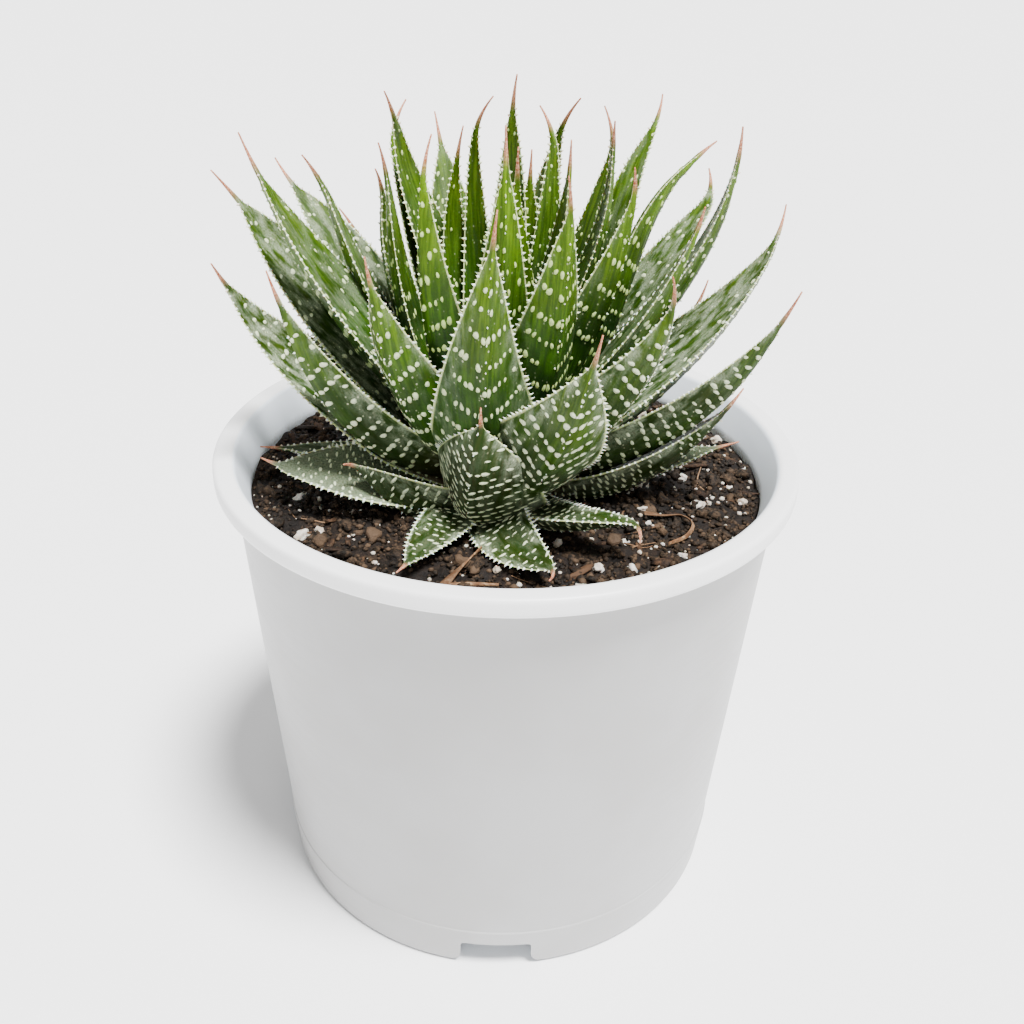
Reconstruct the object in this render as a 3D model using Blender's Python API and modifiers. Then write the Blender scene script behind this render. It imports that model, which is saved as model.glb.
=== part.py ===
"""A potted lace aloe: a turned plastic pot, soil with perlite, a short stem and a rosette of toothed leaves.

Lengths in the tables are millimetres and angles are degrees. Azimuth 0 points along +X and 90 along +Y.
The origin is the middle of the pot's foot, on the surface that it stands on.
"""

import math
import random

import bmesh
import bpy
from mathutils import Vector, noise

MM = 0.001
GAP = 0.3
FLAT_ANGLE = 0.4

# Pot
RIM_RADIUS = 65.0
POT_HEIGHT = 110.0
LIP_HEIGHT = 4.3
LIP_INNER_RADIUS = 60.6
LIP_ROUND = 1.1
WALL_TOP_RADIUS = 61.1
WALL_THICKNESS = 1.1
EDGE_ROUND = 0.8
FOOT_RADIUS = 54.5
FOOT_BAND_HEIGHT = 11.5
FOOT_BAND_PROUD = 0.3
FOOT_RING_WIDTH = 3.4
FLOOR_UNDER = 8.6
FLOOR_THICKNESS = 1.5
FLOOR_FILLET = 1.2
NOTCH_WIDTH = 16.4
NOTCH_HEIGHT = 7.4
NOTCH_FLARE = 2.2
NOTCH_COUNT = 4
DRAIN_RADIUS = 3.6
DRAIN_COUNT = 8
DRAIN_CIRCLE = 37.0
DRAIN_SIDES = 10
DRAIN_TURN = 22.5
ROUND_STEPS = 36

# Soil
SOIL_LEVEL = 103.0
SOIL_EDGE_DROP = 2.2
SOIL_RINGS = 7
SOIL_CLUMP = 1.3
SOIL_CLUMP_WIDTHS = (9.0, 4.0)
SOIL_FOOT_SLANT = 1.2
PERLITE_COUNT = 18
PERLITE_SMALLEST = 1.3
PERLITE_LARGEST = 2.9
PERLITE_REACH = 54.0
PERLITE_CLEAR_OF_CROWN = 22.0

# Crown and stem
CROWN = Vector((-3.0, -8.0, SOIL_LEVEL))
STEM_SIDES = 12
STEM_DEPTH = 18.0
STEM_PROFILE = (
    (0.0, 21.0),
    (2.2, 20.4),
    (3.4, 18.0),
    (5.0, 12.0),
    (6.6, 5.0),
    (7.0, 0.0),
    (6.0, -STEM_DEPTH),
)

# Leaves
TOOTH = 1.2
TOOTH_LEAN = 0.9
KEEL_TOOTH = 0.55
AWN_START = 0.88
AWN_WIDTH = 1.4
AWN_TIP_WIDTH = 0.6
HOOK_START = 0.84
BLADE_THICKNESS = 0.36
BLADE_CUP = 0.10
BLADE_FOOT = 0.80
FULL_WIDTH_AT = 0.25
THINNEST = 0.6
BELLY_AT = 0.55
BELLY_DEPTH = 0.62
KEEL_DEPTH = 0.85
KEEL_TEETH_FROM = 0.3
TOOTHED_RING_AT = 0.45
TEETH_END_BEFORE_AWN = 0.03
AWN_RING_AFTER = 0.01
DIRECTION_SPAN = 0.02
CLEARANCE_SIDE = 2.8
CLEARANCE_DEPTH = 1.4
ROOT_LOWEST = 2.5
ROOT_SPAN = 13.0
ROOT_SUNK = 1.5
FLATTEST = 5
STEEPEST = 80
PULL_AT_ROOT = 0.38
PULL_AT_TIP = 0.33
LINE_STEPS = 200
RING_SPACING = 7.4
FEWEST_TOOTHED_RINGS = 5
STRAIGHT_AWN = 2
MOST_COARSE_BEND = 30
SWAY_AS_BEND = 3

# Each leaf: azimuth, reach and rise of its tip from the crown, slope at the root, slope at the tip, width,
# roll about its own line, sideways swing, how late it tapers, and how far its awn hooks sideways.
# From the lowest and outermost to the innermost.
LEAVES = (
    (356, 53, 13, -8, 20, 14, 10, 0, 2.0, 0),
    (318, 46, 7, -10, -20, 11, 0, -9, 2.4, -8),
    (290, 47, 4, 0, 10, 13, 30, -6, 2.6, -5),
    (248, 46, 3, 0, 10, 12, 0, 0, 2.4, 0),
    (177, 52, 6, 5, 0, 12, -5, 0, 2.0, 0),
    (192, 50, 8, 0, -5, 21, -15, 4, 2.2, -4),
    (205, 35, 13, -10, 25, 20, 20, 6, 2.0, 4),
    (266, 29, 31, 5, 85, 25, -20, 0, 2.8, 0),
    (350, 52, 26, -5, 50, 17, -10, 0, 1.8, 4),
    (155, 50, 28, 5, 50, 16, 0, 0, 1.7, 0),
    (45, 48, 28, 5, 55, 16, 0, 0, 1.7, 0),
    (130, 50, 36, 10, 60, 16, 0, 0, 1.7, 0),
    (70, 52, 34, 10, 60, 16, 0, 0, 1.7, 0),
    (100, 50, 38, 10, 65, 16, 0, 0, 1.7, 0),
    (343, 60, 51, 15, 70, 16, -25, 4, 2.2, 0),
    (20, 49, 42, 20, 75, 11, 0, 0, 1.6, 0),
    (192, 55, 53, 25, 75, 23, -40, -5, 1.2, 4),
    (326, 41, 56, 35, 90, 23, -30, -3, 1.2, -4),
    (297, 42, 49, 25, 85, 24, -30, -2, 1.9, 0),
    (204, 46, 53, 20, 75, 16, 20, 0, 2.2, 0),
    (5, 60, 60, 35, 60, 22, 10, -6, 1.5, 6),
    (174, 56, 66, 40, 65, 21, -30, -4, 2.2, 3),
    (152, 57, 63, 35, 30, 19, -25, 0, 2.0, -3),
    (28, 57, 62, 40, 30, 17, 10, -5, 1.7, 8),
    (115, 43, 56, 25, 70, 16, 0, 0, 1.7, 0),
    (85, 42, 55, 30, 75, 16, 0, 0, 1.7, 0),
    (352, 45, 79, 45, 95, 13, 0, 5, 1.4, -5),
    (223, 32, 57, 40, 80, 18, 20, 0, 1.6, 0),
    (271, 26, 67, 32, 90, 22, 5, -2, 1.3, 0),
    (343, 41, 66, 45, 75, 14, 10, 0, 1.4, -5),
    (181, 49, 74, 48, 70, 18, -15, 0, 1.9, 0),
    (143, 42, 54, 35, 60, 17, -10, 0, 1.7, 2),
    (173, 37, 70, 42, 75, 11, 0, -4, 1.6, 5),
    (41, 50, 77, 40, 25, 16, 0, -4, 1.4, 4),
    (109, 46, 71, 48, 50, 17, -5, 0, 2.0, 0),
    (61, 27, 78, 58, 110, 14, -5, 4, 1.4, -4),
    (152, 25, 66, 48, 110, 11, 5, 0, 1.5, 5),
    (130, 39, 75, 52, 50, 9, 10, 3, 1.4, -6),
    (341, 28, 72, 62, 85, 18, -10, 0, 1.4, -5),
    (305, 25, 72, 55, 80, 20, -5, 0, 1.2, -2),
    (144, 25, 80, 72, 120, 14, 0, -5, 1.7, 4),
    (8, 45, 72, 40, 10, 13, -15, -3, 2.0, 6),
    (39, 33, 76, 60, 75, 11, -5, 0, 1.4, 6),
    (166, 23, 72, 48, 85, 11, 0, 0, 1.6, 3),
    (67, 31, 75, 58, 45, 9, 0, -4, 1.5, 4),
    (17, 22, 77, 65, 110, 9, -5, 2, 1.5, -4),
    (114, 18, 73, 57, 105, 9, 5, 2, 1.5, 0),
    (71, 21, 68, 62, 85, 12, 10, 0, 1.7, 0),
    (224, 18, 77, 60, 105, 16, 0, 3, 1.4, 2),
    (106, 15, 79, 64, 120, 9, 10, 0, 1.2, -3),
    (276, 15, 79, 66, 100, 14, 0, 0, 1.4, 0),
    (76, 10, 84, 75, 115, 11, 0, 1, 1.5, -1),
    (322, 5, 73, 72, 80, 11, 0, 2, 1.6, 0),
    (19, 15, 73, 72, 90, 12, 0, 0, 1.6, 0),
)
HEART_LEAVES = (
    (300, 4, 69, 80, 80, 8, 0, 0, 1.6, 0),
    (200, 4, 46, 78, 90, 8, 0, 0, 1.7, 0),
    (20, 4, 40, 78, 90, 7, 0, 0, 1.7, 0),
    (120, 3, 33, 80, 90, 6, 0, 0, 1.7, 0),
)
# Dry leaf remains on the soil: points (x, y) along each, and its widths at the two ends.
WITHERED_LIFT = 0.9
WITHERED = (
    (((-11.5, -49), (-9, -45), (-6.5, -41), (-4.6, -37.5)), (2.2, 1.2)),
    (((29.5, -21.5), (33.5, -21.5), (37.5, -22), (39.5, -25), (37.5, -29.5), (33.5, -32.5)), (1.8, 1.0)),
)


def clear_scene():
    for obj in list(bpy.data.objects):
        bpy.data.objects.remove(obj)


def make_collection(name, hidden=False):
    collection = bpy.data.collections.new(name)
    bpy.context.scene.collection.children.link(collection)
    collection.hide_render = hidden
    return collection


def make_material(name, colour, roughness):
    material = bpy.data.materials.new(name)
    material.use_nodes = True
    shader = material.node_tree.nodes["Principled BSDF"]
    shader.inputs["Base Color"].default_value = (*colour, 1.0)
    shader.inputs["Roughness"].default_value = roughness
    shader.inputs["Metallic"].default_value = 0.0
    return material


def make_object(name, mesh, collection, material=None):
    obj = bpy.data.objects.new(name, mesh)
    collection.objects.link(obj)
    if material:
        mesh.materials.append(material)
    return obj


def mesh_from(build, name):
    """Runs build on an empty bmesh and returns the mesh with its faces pointing out."""
    shape = bmesh.new()
    build(shape)
    bmesh.ops.recalc_face_normals(shape, faces=shape.faces)
    mesh = bpy.data.meshes.new(name)
    shape.to_mesh(mesh)
    shape.free()
    return mesh


def make_cutter(name, mesh, cutters):
    cutter = make_object(name, mesh, cutters)
    cutter.hide_render = True
    cutter.display_type = "WIRE"
    return cutter


def turned(name, profile, collection, material, steps):
    """Turns a profile of (radius, height) about Z. It runs down the outer side."""
    mesh = bpy.data.meshes.new(name)
    points = [(radius * MM, 0.0, height * MM) for radius, height in profile]
    mesh.from_pydata(points, [(i, i + 1) for i in range(len(points) - 1)], [])
    obj = make_object(name, mesh, collection, material)
    screw = obj.modifiers.new("turn", "SCREW")
    screw.axis = "Z"
    screw.steps = steps
    screw.render_steps = steps
    screw.use_merge_vertices = True
    screw.merge_threshold = 0.00001
    screw.use_smooth_shade = True
    return obj


def apply_modifiers(obj):
    """Replaces the object's mesh with its evaluated one."""
    bpy.context.view_layer.update()
    graph = bpy.context.evaluated_depsgraph_get()
    mesh = bpy.data.meshes.new_from_object(obj.evaluated_get(graph))
    obj.modifiers.clear()
    obj.data = mesh


def boolean(obj, others, operation):
    """Joins or cuts with every object in others."""
    group = bpy.data.collections.new("operands")
    bpy.context.scene.collection.children.link(group)
    for other in others:
        group.objects.link(other)
    modifier = obj.modifiers.new("boolean", "BOOLEAN")
    modifier.operation = operation
    modifier.solver = "MANIFOLD"
    modifier.operand_type = "COLLECTION"
    modifier.collection = group
    apply_modifiers(obj)
    bpy.data.collections.remove(group)


def keep_largest_piece(obj):
    """Drops the loose scraps that a cut leaves, and merges points closer than a hundredth of a millimetre."""
    shape = bmesh.new()
    shape.from_mesh(obj.data)
    bmesh.ops.remove_doubles(shape, verts=shape.verts, dist=0.01 * MM)
    bmesh.ops.dissolve_degenerate(shape, edges=shape.edges, dist=0.005 * MM)
    flat = math.radians(FLAT_ANGLE)
    bmesh.ops.dissolve_limit(
        shape, angle_limit=flat, use_dissolve_boundaries=False, verts=shape.verts, edges=shape.edges
    )
    bmesh.ops.triangulate(shape, faces=shape.faces)
    left = set(shape.verts)
    pieces = []
    while left:
        piece = [left.pop()]
        for vert in piece:
            for edge in vert.link_edges:
                other = edge.other_vert(vert)
                if other in left:
                    left.remove(other)
                    piece.append(other)
        pieces.append(piece)
    pieces.sort(key=len)
    for piece in pieces[:-1]:
        bmesh.ops.delete(shape, geom=piece, context="VERTS")
    shape.to_mesh(obj.data)
    shape.free()


def outer_wall_radius(height):
    """Radius of the pot's outer wall at this height."""
    return FOOT_RADIUS + (WALL_TOP_RADIUS - FOOT_RADIUS) * height / (POT_HEIGHT - LIP_HEIGHT)


def inner_wall_radius(height):
    """Radius of the pot's inner wall at this height."""
    return outer_wall_radius(height) - WALL_THICKNESS


def pot_profile():
    """From the middle of the floor up the inside, over the lip, down the outside and back under the floor."""
    floor = FLOOR_UNDER + FLOOR_THICKNESS
    lip_under = POT_HEIGHT - LIP_HEIGHT
    band_top = FOOT_BAND_HEIGHT + FOOT_BAND_PROUD
    ring_inner = FOOT_RADIUS - FOOT_RING_WIDTH
    return (
        (0.0, floor),
        (inner_wall_radius(floor) - FLOOR_FILLET, floor),
        (inner_wall_radius(floor + FLOOR_FILLET), floor + FLOOR_FILLET),
        (inner_wall_radius(lip_under), lip_under),
        (LIP_INNER_RADIUS, POT_HEIGHT - EDGE_ROUND),
        (LIP_INNER_RADIUS + EDGE_ROUND, POT_HEIGHT),
        (RIM_RADIUS - LIP_ROUND, POT_HEIGHT),
        (RIM_RADIUS - LIP_ROUND * 0.3, POT_HEIGHT - LIP_ROUND * 0.3),
        (RIM_RADIUS, POT_HEIGHT - LIP_ROUND),
        (RIM_RADIUS, lip_under + EDGE_ROUND),
        (RIM_RADIUS - EDGE_ROUND, lip_under),
        (outer_wall_radius(lip_under), lip_under),
        (outer_wall_radius(band_top), band_top),
        (outer_wall_radius(FOOT_BAND_HEIGHT) + FOOT_BAND_PROUD, FOOT_BAND_HEIGHT),
        (FOOT_RADIUS, EDGE_ROUND),
        (FOOT_RADIUS - EDGE_ROUND, 0.0),
        (ring_inner, 0.0),
        (ring_inner, FLOOR_UNDER),
        (0.0, FLOOR_UNDER),
    )


def build_notch(shape):
    """The outline of a notch, drawn through the foot ring. Its lower corners flare out."""
    half = NOTCH_WIDTH / 2
    depth = FOOT_RING_WIDTH
    sides = []
    for out in (-depth, depth):
        ring = []
        for hand in (1, -1):
            corners = [(half + NOTCH_FLARE * 2, -NOTCH_FLARE), (half, NOTCH_FLARE), (half, NOTCH_HEIGHT)]
            for across, height in corners[::hand]:
                ring.append(shape.verts.new(Vector((out, across * hand, height)) * MM))
        sides.append(ring)
    near, far = sides
    for index, vert in enumerate(near):
        following = (index + 1) % len(near)
        shape.faces.new((vert, near[following], far[following], far[index]))
    shape.faces.new(near)
    shape.faces.new(far)


def make_notch(index, cutters):
    """A notch through the foot ring, which lets water out."""
    angle = math.radians(270 + index * 360 / NOTCH_COUNT)
    notch = make_cutter(f"notch_{index + 1}", mesh_from(build_notch, "notch"), cutters)
    middle = FOOT_RADIUS - FOOT_RING_WIDTH / 2
    notch.location = (middle * math.cos(angle) * MM, middle * math.sin(angle) * MM, 0.0)
    notch.rotation_euler = (0.0, 0.0, angle)


def make_drain(index, cutters):
    """A round hole through the floor: the first is in the middle and the others are on a circle."""
    mesh = mesh_from(
        lambda shape: bmesh.ops.create_cone(
            shape,
            cap_ends=True,
            segments=DRAIN_SIDES,
            radius1=DRAIN_RADIUS * MM,
            radius2=DRAIN_RADIUS * MM,
            depth=FLOOR_THICKNESS * 3 * MM,
        ),
        "drain",
    )
    drain = make_cutter(f"drain_{index}", mesh, cutters)
    angle = math.radians(DRAIN_TURN + index * 360 / DRAIN_COUNT)
    out = DRAIN_CIRCLE if index else 0.0
    height = FLOOR_UNDER + FLOOR_THICKNESS / 2
    drain.location = (out * math.cos(angle) * MM, out * math.sin(angle) * MM, height * MM)


def make_pot(parts, cutters):
    plastic = make_material("pot_plastic", (0.62, 0.61, 0.60), 0.38)
    pot = turned("pot", pot_profile(), parts, plastic, ROUND_STEPS)
    for index in range(NOTCH_COUNT):
        make_notch(index, cutters)
    for index in range(DRAIN_COUNT + 1):
        make_drain(index, cutters)
    cut = pot.modifiers.new("notches_and_drains", "BOOLEAN")
    cut.operand_type = "COLLECTION"
    cut.collection = cutters
    apply_modifiers(pot)


def soil_height(x, y):
    """Height of the soil's top at this place: a low dome with clumps."""
    out = math.hypot(x, y) / inner_wall_radius(SOIL_LEVEL)
    wide, narrow = SOIL_CLUMP_WIDTHS
    clumps = noise.noise(Vector((x, y, 0.0)) / wide) + 0.6 * noise.noise(Vector((x, y, 40.0)) / narrow)
    return SOIL_LEVEL - SOIL_EDGE_DROP * out**3 + SOIL_CLUMP * clumps


def build_soil(shape):
    """Rings of points from the middle of the top out to the wall, then down to the floor."""
    edge = inner_wall_radius(SOIL_LEVEL) - GAP
    bottom = FLOOR_UNDER + FLOOR_THICKNESS + GAP
    rings = []
    for index in range(1, SOIL_RINGS + 1):
        ring = []
        for step in range(ROUND_STEPS):
            angle = 2 * math.pi * step / ROUND_STEPS
            radius = edge * index / SOIL_RINGS
            x = radius * math.cos(angle)
            y = radius * math.sin(angle)
            height = soil_height(x, y)
            if index == SOIL_RINGS:
                radius = inner_wall_radius(height) - GAP
                x = radius * math.cos(angle)
                y = radius * math.sin(angle)
            ring.append(shape.verts.new(Vector((x, y, height)) * MM))
        rings.append(ring)
    low = inner_wall_radius(bottom + SOIL_FOOT_SLANT) - GAP
    for radius, height in ((low, bottom + SOIL_FOOT_SLANT), (low - SOIL_FOOT_SLANT - GAP, bottom)):
        turn = [2 * math.pi * step / ROUND_STEPS for step in range(ROUND_STEPS)]
        rings.append(
            [shape.verts.new(Vector((radius * math.cos(a), radius * math.sin(a), height)) * MM) for a in turn]
        )
    middle = shape.verts.new(Vector((0.0, 0.0, soil_height(0.0, 0.0))) * MM)
    for step in range(ROUND_STEPS):
        following = (step + 1) % ROUND_STEPS
        shape.faces.new((middle, rings[0][step], rings[0][following]))
        for ring, outer in zip(rings, rings[1:]):
            shape.faces.new((ring[step], outer[step], outer[following], ring[following]))
    shape.faces.new(rings[-1])


def make_perlite(cutters):
    """Faceted grains, sunk by half into the soil, at seeded places clear of the crown."""
    draw = random.Random(11)
    grains = []
    while len(grains) < PERLITE_COUNT:
        angle = draw.uniform(0, 2 * math.pi)
        out = PERLITE_REACH * math.sqrt(draw.random())
        x = out * math.cos(angle)
        y = out * math.sin(angle)
        size = draw.uniform(PERLITE_SMALLEST, PERLITE_LARGEST)
        if math.hypot(x - CROWN.x, y - CROWN.y) < PERLITE_CLEAR_OF_CROWN or any(
            math.hypot(x - other[0], y - other[1]) < size + other[2] + 1.0 for other in grains
        ):
            continue
        grains.append((x, y, size))
    lumps = []
    for index, (x, y, size) in enumerate(grains):
        mesh = mesh_from(
            lambda shape: bmesh.ops.create_icosphere(shape, subdivisions=1, radius=MM), f"perlite_{index}"
        )
        lump = make_cutter(f"perlite_{index}", mesh, cutters)
        lump.location = Vector((x, y, soil_height(x, y) + size * 0.1)) * MM
        lump.scale = (size * draw.uniform(0.8, 1.2), size * draw.uniform(0.8, 1.2), size * 0.8)
        lump.rotation_euler = (draw.uniform(0, 0.5), draw.uniform(0, 0.5), draw.uniform(0, 6))
        lumps.append(lump)
    return lumps


def stem_radius(height):
    """Radius of the stem at a height above the soil level, read from its profile."""
    for (upper_radius, upper), (lower_radius, lower) in zip(STEM_PROFILE, STEM_PROFILE[1:]):
        if lower <= height <= upper:
            along = (upper - height) / (upper - lower)
            return upper_radius + along * (lower_radius - upper_radius)
    return 0.0


def build_stem(shape, grow):
    """Rings of the stem about the crown, grown outwards by a clearance where it is a cutter."""
    rings = []
    for radius, height in STEM_PROFILE[1:]:
        ring = []
        lift = grow if height > 0 else -grow * (height == -STEM_DEPTH)
        for step in range(STEM_SIDES):
            angle = 2 * math.pi * step / STEM_SIDES
            flat = Vector((math.cos(angle), math.sin(angle), 0.0)) * (radius + grow)
            ring.append(shape.verts.new((CROWN + flat + Vector((0.0, 0.0, height + lift))) * MM))
        rings.append(ring)
    top = shape.verts.new((CROWN + Vector((0.0, 0.0, STEM_PROFILE[0][1] + grow))) * MM)
    for step in range(STEM_SIDES):
        following = (step + 1) % STEM_SIDES
        shape.faces.new((top, rings[0][step], rings[0][following]))
        for ring, lower in zip(rings, rings[1:]):
            shape.faces.new((ring[step], lower[step], lower[following], ring[following]))
    shape.faces.new(rings[-1])


def leaf_line(leaf):
    """Points along the leaf, the length up to each, and its sideways direction.

    The line is a cubic curve in the upright plane through the crown. Steeper leaves start higher on the stem.
    """
    azimuth, reach, rise, start, end, _, _, swing, _, hook = leaf
    steep = min(max((start - FLATTEST) / (STEEPEST - FLATTEST), 0), 1)
    root_height = ROOT_LOWEST + ROOT_SPAN * steep
    root = Vector((max(stem_radius(root_height) - ROOT_SUNK, 1.0), root_height))
    tip = Vector((reach, rise))
    chord = (tip - root).length
    leaving = Vector((math.cos(math.radians(start)), math.sin(math.radians(start))))
    arriving = Vector((math.cos(math.radians(end)), math.sin(math.radians(end))))
    near = root + leaving * PULL_AT_ROOT * chord
    far = tip - arriving * PULL_AT_TIP * chord
    turn = math.radians(azimuth)
    out = Vector((math.cos(turn), math.sin(turn), 0.0))
    side = Vector((-math.sin(turn), math.cos(turn), 0.0))
    fine = []
    for index in range(LINE_STEPS + 1):
        t = index / LINE_STEPS
        flat = root * (1 - t) ** 3 + near * 3 * t * (1 - t) ** 2 + far * 3 * t**2 * (1 - t) + tip * t**3
        sideways = swing * 4 * t * (1 - t) + hook * max((t - HOOK_START) / (1 - HOOK_START), 0.0) ** 2
        fine.append(CROWN + out * flat.x + Vector((0, 0, flat.y)) + side * sideways)
    lengths = [0.0]
    for before, after in zip(fine, fine[1:]):
        lengths.append(lengths[-1] + (after - before).length)
    return fine, lengths, side


def point_along(fine, lengths, along):
    """The point at this share of the line's length."""
    goal = along * lengths[-1]
    index = max(i for i, length in enumerate(lengths) if length <= goal)
    index = min(index, len(fine) - 2)
    step = lengths[index + 1] - lengths[index]
    return fine[index].lerp(fine[index + 1], (goal - lengths[index]) / step)


def blade_width(along, widest, power):
    """Width at this share of the length: full after a quarter, then an arched taper to the awn."""
    if along > AWN_START:
        return AWN_WIDTH + (AWN_TIP_WIDTH - AWN_WIDTH) * (along - AWN_START) / (1 - AWN_START)
    foot = BLADE_FOOT + (1 - BLADE_FOOT) * math.sin(min(along / FULL_WIDTH_AT, 1.0) * math.pi / 2)
    taper = max((along - FULL_WIDTH_AT) / (AWN_START - FULL_WIDTH_AT), 0.0) ** power
    return widest * foot + (AWN_WIDTH - widest * foot) * taper


def leaf_stations(length, hook):
    """Shares of the length at which the leaf has a ring, each with whether the ring carries teeth."""
    count = max(int(length / RING_SPACING / 2), FEWEST_TOOTHED_RINGS)
    pitch = (AWN_START - TEETH_END_BEFORE_AWN) / count
    stations = [(0.0, False)]
    for index in range(count):
        stations.append(((index + TOOTHED_RING_AT) * pitch, True))
        stations.append(((index + 1.0) * pitch, False))
    stations.append((AWN_START + AWN_RING_AFTER, False))
    if abs(hook) > STRAIGHT_AWN:
        stations.append(((AWN_START + 1) / 2, False))
    return stations + [(1.0, False)]


def build_leaf(shape, leaf, grow=0.0):
    """A closed loft: rings of five points, namely two margins, and three below with the keel between.

    With grow it is the coarser outline that the leaves inside it keep clear of.
    """
    fine, lengths, side = leaf_line(leaf)
    _, reach, rise, start, end, widest, turn, swing, power, hook = leaf
    roll = math.radians(turn)
    steepness = math.degrees(math.atan2(rise, reach))
    bend = abs(steepness - start) + abs(end - steepness) + SWAY_AS_BEND * (abs(swing) + abs(hook))
    rings = []
    for along, toothed in leaf_stations(lengths[-1], hook):
        if toothed and grow and bend < MOST_COARSE_BEND:
            continue
        centre = point_along(fine, lengths, along)
        ahead = point_along(fine, lengths, min(along + DIRECTION_SPAN, 1.0))
        behind = point_along(fine, lengths, max(along - DIRECTION_SPAN, 0.0))
        forward = (ahead - behind).normalized()
        level = (side - forward * side.dot(forward)).normalized()
        upright = forward.cross(level)
        across = level * math.cos(roll) + upright * math.sin(roll)
        up = upright * math.cos(roll) - level * math.sin(roll)
        width = blade_width(along, widest, power)
        half = width / 2
        thick = max(width * BLADE_THICKNESS, THINNEST)
        armed = (toothed or grow) and along < AWN_START
        tooth = TOOTH if armed else 0.0
        keel = KEEL_TOOTH if armed and along > KEEL_TEETH_FROM else 0.0
        lean = TOOTH_LEAN if toothed else 0.0
        deep = CLEARANCE_DEPTH * grow
        edge = half + tooth + CLEARANCE_SIDE * grow
        belly = BELLY_AT * half + grow
        section = (
            (edge, BLADE_CUP * width + deep, lean),
            (-edge, BLADE_CUP * width + deep, lean),
            (-belly, -BELLY_DEPTH * thick - deep, 0.0),
            (0.0, -KEEL_DEPTH * thick - keel - deep, 0.0),
            (belly, -BELLY_DEPTH * thick - deep, 0.0),
        )
        if along in (0.0, 1.0):
            centre = centre + forward * grow * (1 if along else -1)
        rings.append(
            [shape.verts.new((centre + across * a + up * b + forward * c) * MM) for a, b, c in section]
        )
    join_rings(shape, rings)


def join_rings(shape, rings):
    """Faces between rings of points that follow each other, closed at both ends."""
    corners = len(rings[0])
    for ring, following in zip(rings, rings[1:]):
        for corner in range(corners):
            other = (corner + 1) % corners
            shape.faces.new((ring[corner], ring[other], following[other], following[corner]))
    shape.faces.new(rings[0][::-1])
    shape.faces.new(rings[-1])


def boxes_meet(first, second):
    """Whether two objects' boxes meet, in world space with no rotation."""
    for axis in range(3):
        one = [corner[axis] for corner in first.bound_box]
        two = [corner[axis] for corner in second.bound_box]
        if max(one) < min(two) or max(two) < min(one):
            return False
    return True


def make_leaf(name, leaf, parts, cutters, material, clearances):
    """A leaf whose base gives way to the stem and to the leaves outside it."""
    obj = make_object(name, mesh_from(lambda shape: build_leaf(shape, leaf), name), parts, material)
    near = [other for other in clearances if boxes_meet(obj, other)]
    if near:
        boolean(obj, near, "DIFFERENCE")
    keep_largest_piece(obj)
    clearance = mesh_from(lambda shape: build_leaf(shape, leaf, GAP), f"{name}_clearance")
    clearances.append(make_cutter(f"{name}_clearance", clearance, cutters))
    return obj


def build_withered(shape, points, widths, grow=0.0):
    """A dry strip along the points, grown outwards by a clearance where it is a cutter."""
    path = [Vector((x, y, soil_height(x, y) + WITHERED_LIFT)) for x, y in points]
    last = len(path) - 1
    rings = []
    for place, centre in enumerate(path):
        forward = (path[min(place + 1, last)] - path[max(place - 1, 0)]).normalized()
        across = forward.cross(Vector((0, 0, 1))).normalized()
        up = across.cross(forward)
        half = (widths[0] + (widths[1] - widths[0]) * place / last) / 2 + grow
        section = ((half, 0.5), (0.0, 0.25 + grow), (-half, 0.5), (0.0, -0.6 - grow))
        end = forward * grow * ((place == last) - (place == 0))
        rings.append([shape.verts.new((centre + end + across * a + up * b) * MM) for a, b in section])
    join_rings(shape, rings)


def make_withered(name, points, widths, parts, cutters, material, clearances):
    """A dry curled strip that lies on the soil, and the room that the soil leaves it."""
    make_object(name, mesh_from(lambda shape: build_withered(shape, points, widths), name), parts, material)
    room = mesh_from(lambda shape: build_withered(shape, points, widths, GAP), f"{name}_clearance")
    clearances.append(make_cutter(f"{name}_clearance", room, cutters))


def main():
    clear_scene()
    parts = make_collection("potted_lace_aloe")
    pot_cutters = make_collection("pot_cutters", hidden=True)
    cutters = make_collection("clearances", hidden=True)
    make_pot(parts, pot_cutters)
    green = make_material("leaf_green", (0.12, 0.26, 0.05), 0.45)
    dry = make_material("withered_leaf", (0.30, 0.15, 0.06), 0.8)
    earth = make_material("soil_earth", (0.035, 0.022, 0.014), 0.95)
    stem_clearance = make_cutter(
        "stem_clearance", mesh_from(lambda shape: build_stem(shape, GAP), "stem_clearance"), cutters
    )
    clearances = [stem_clearance]
    for index, leaf in enumerate(LEAVES):
        make_leaf(f"leaf_{index + 1:02d}", leaf, parts, cutters, green, clearances)
    heart = make_object("heart", mesh_from(lambda shape: build_stem(shape, 0.0), "heart"), parts, green)
    young = []
    for index, leaf in enumerate(HEART_LEAVES):
        young.append(make_leaf(f"young_{index + 1}", leaf, parts, cutters, green, clearances[1:].copy()))
    boolean(heart, young, "UNION")
    for leaf in young:
        bpy.data.objects.remove(leaf)
    keep_largest_piece(heart)
    for index, (points, widths) in enumerate(WITHERED):
        make_withered(f"withered_leaf_{index + 1}", points, widths, parts, cutters, dry, clearances)
    soil = make_object("soil", mesh_from(build_soil, "soil"), parts, earth)
    boolean(soil, make_perlite(cutters), "UNION")
    boolean(soil, [other for other in clearances if boxes_meet(soil, other)], "DIFFERENCE")
    keep_largest_piece(soil)
    for cutter in list(cutters.objects):
        bpy.data.objects.remove(cutter)
    for obj in parts.objects:
        obj.data.shade_smooth()
        obj.data.set_sharp_from_angle(angle=math.radians(40))


main()
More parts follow.
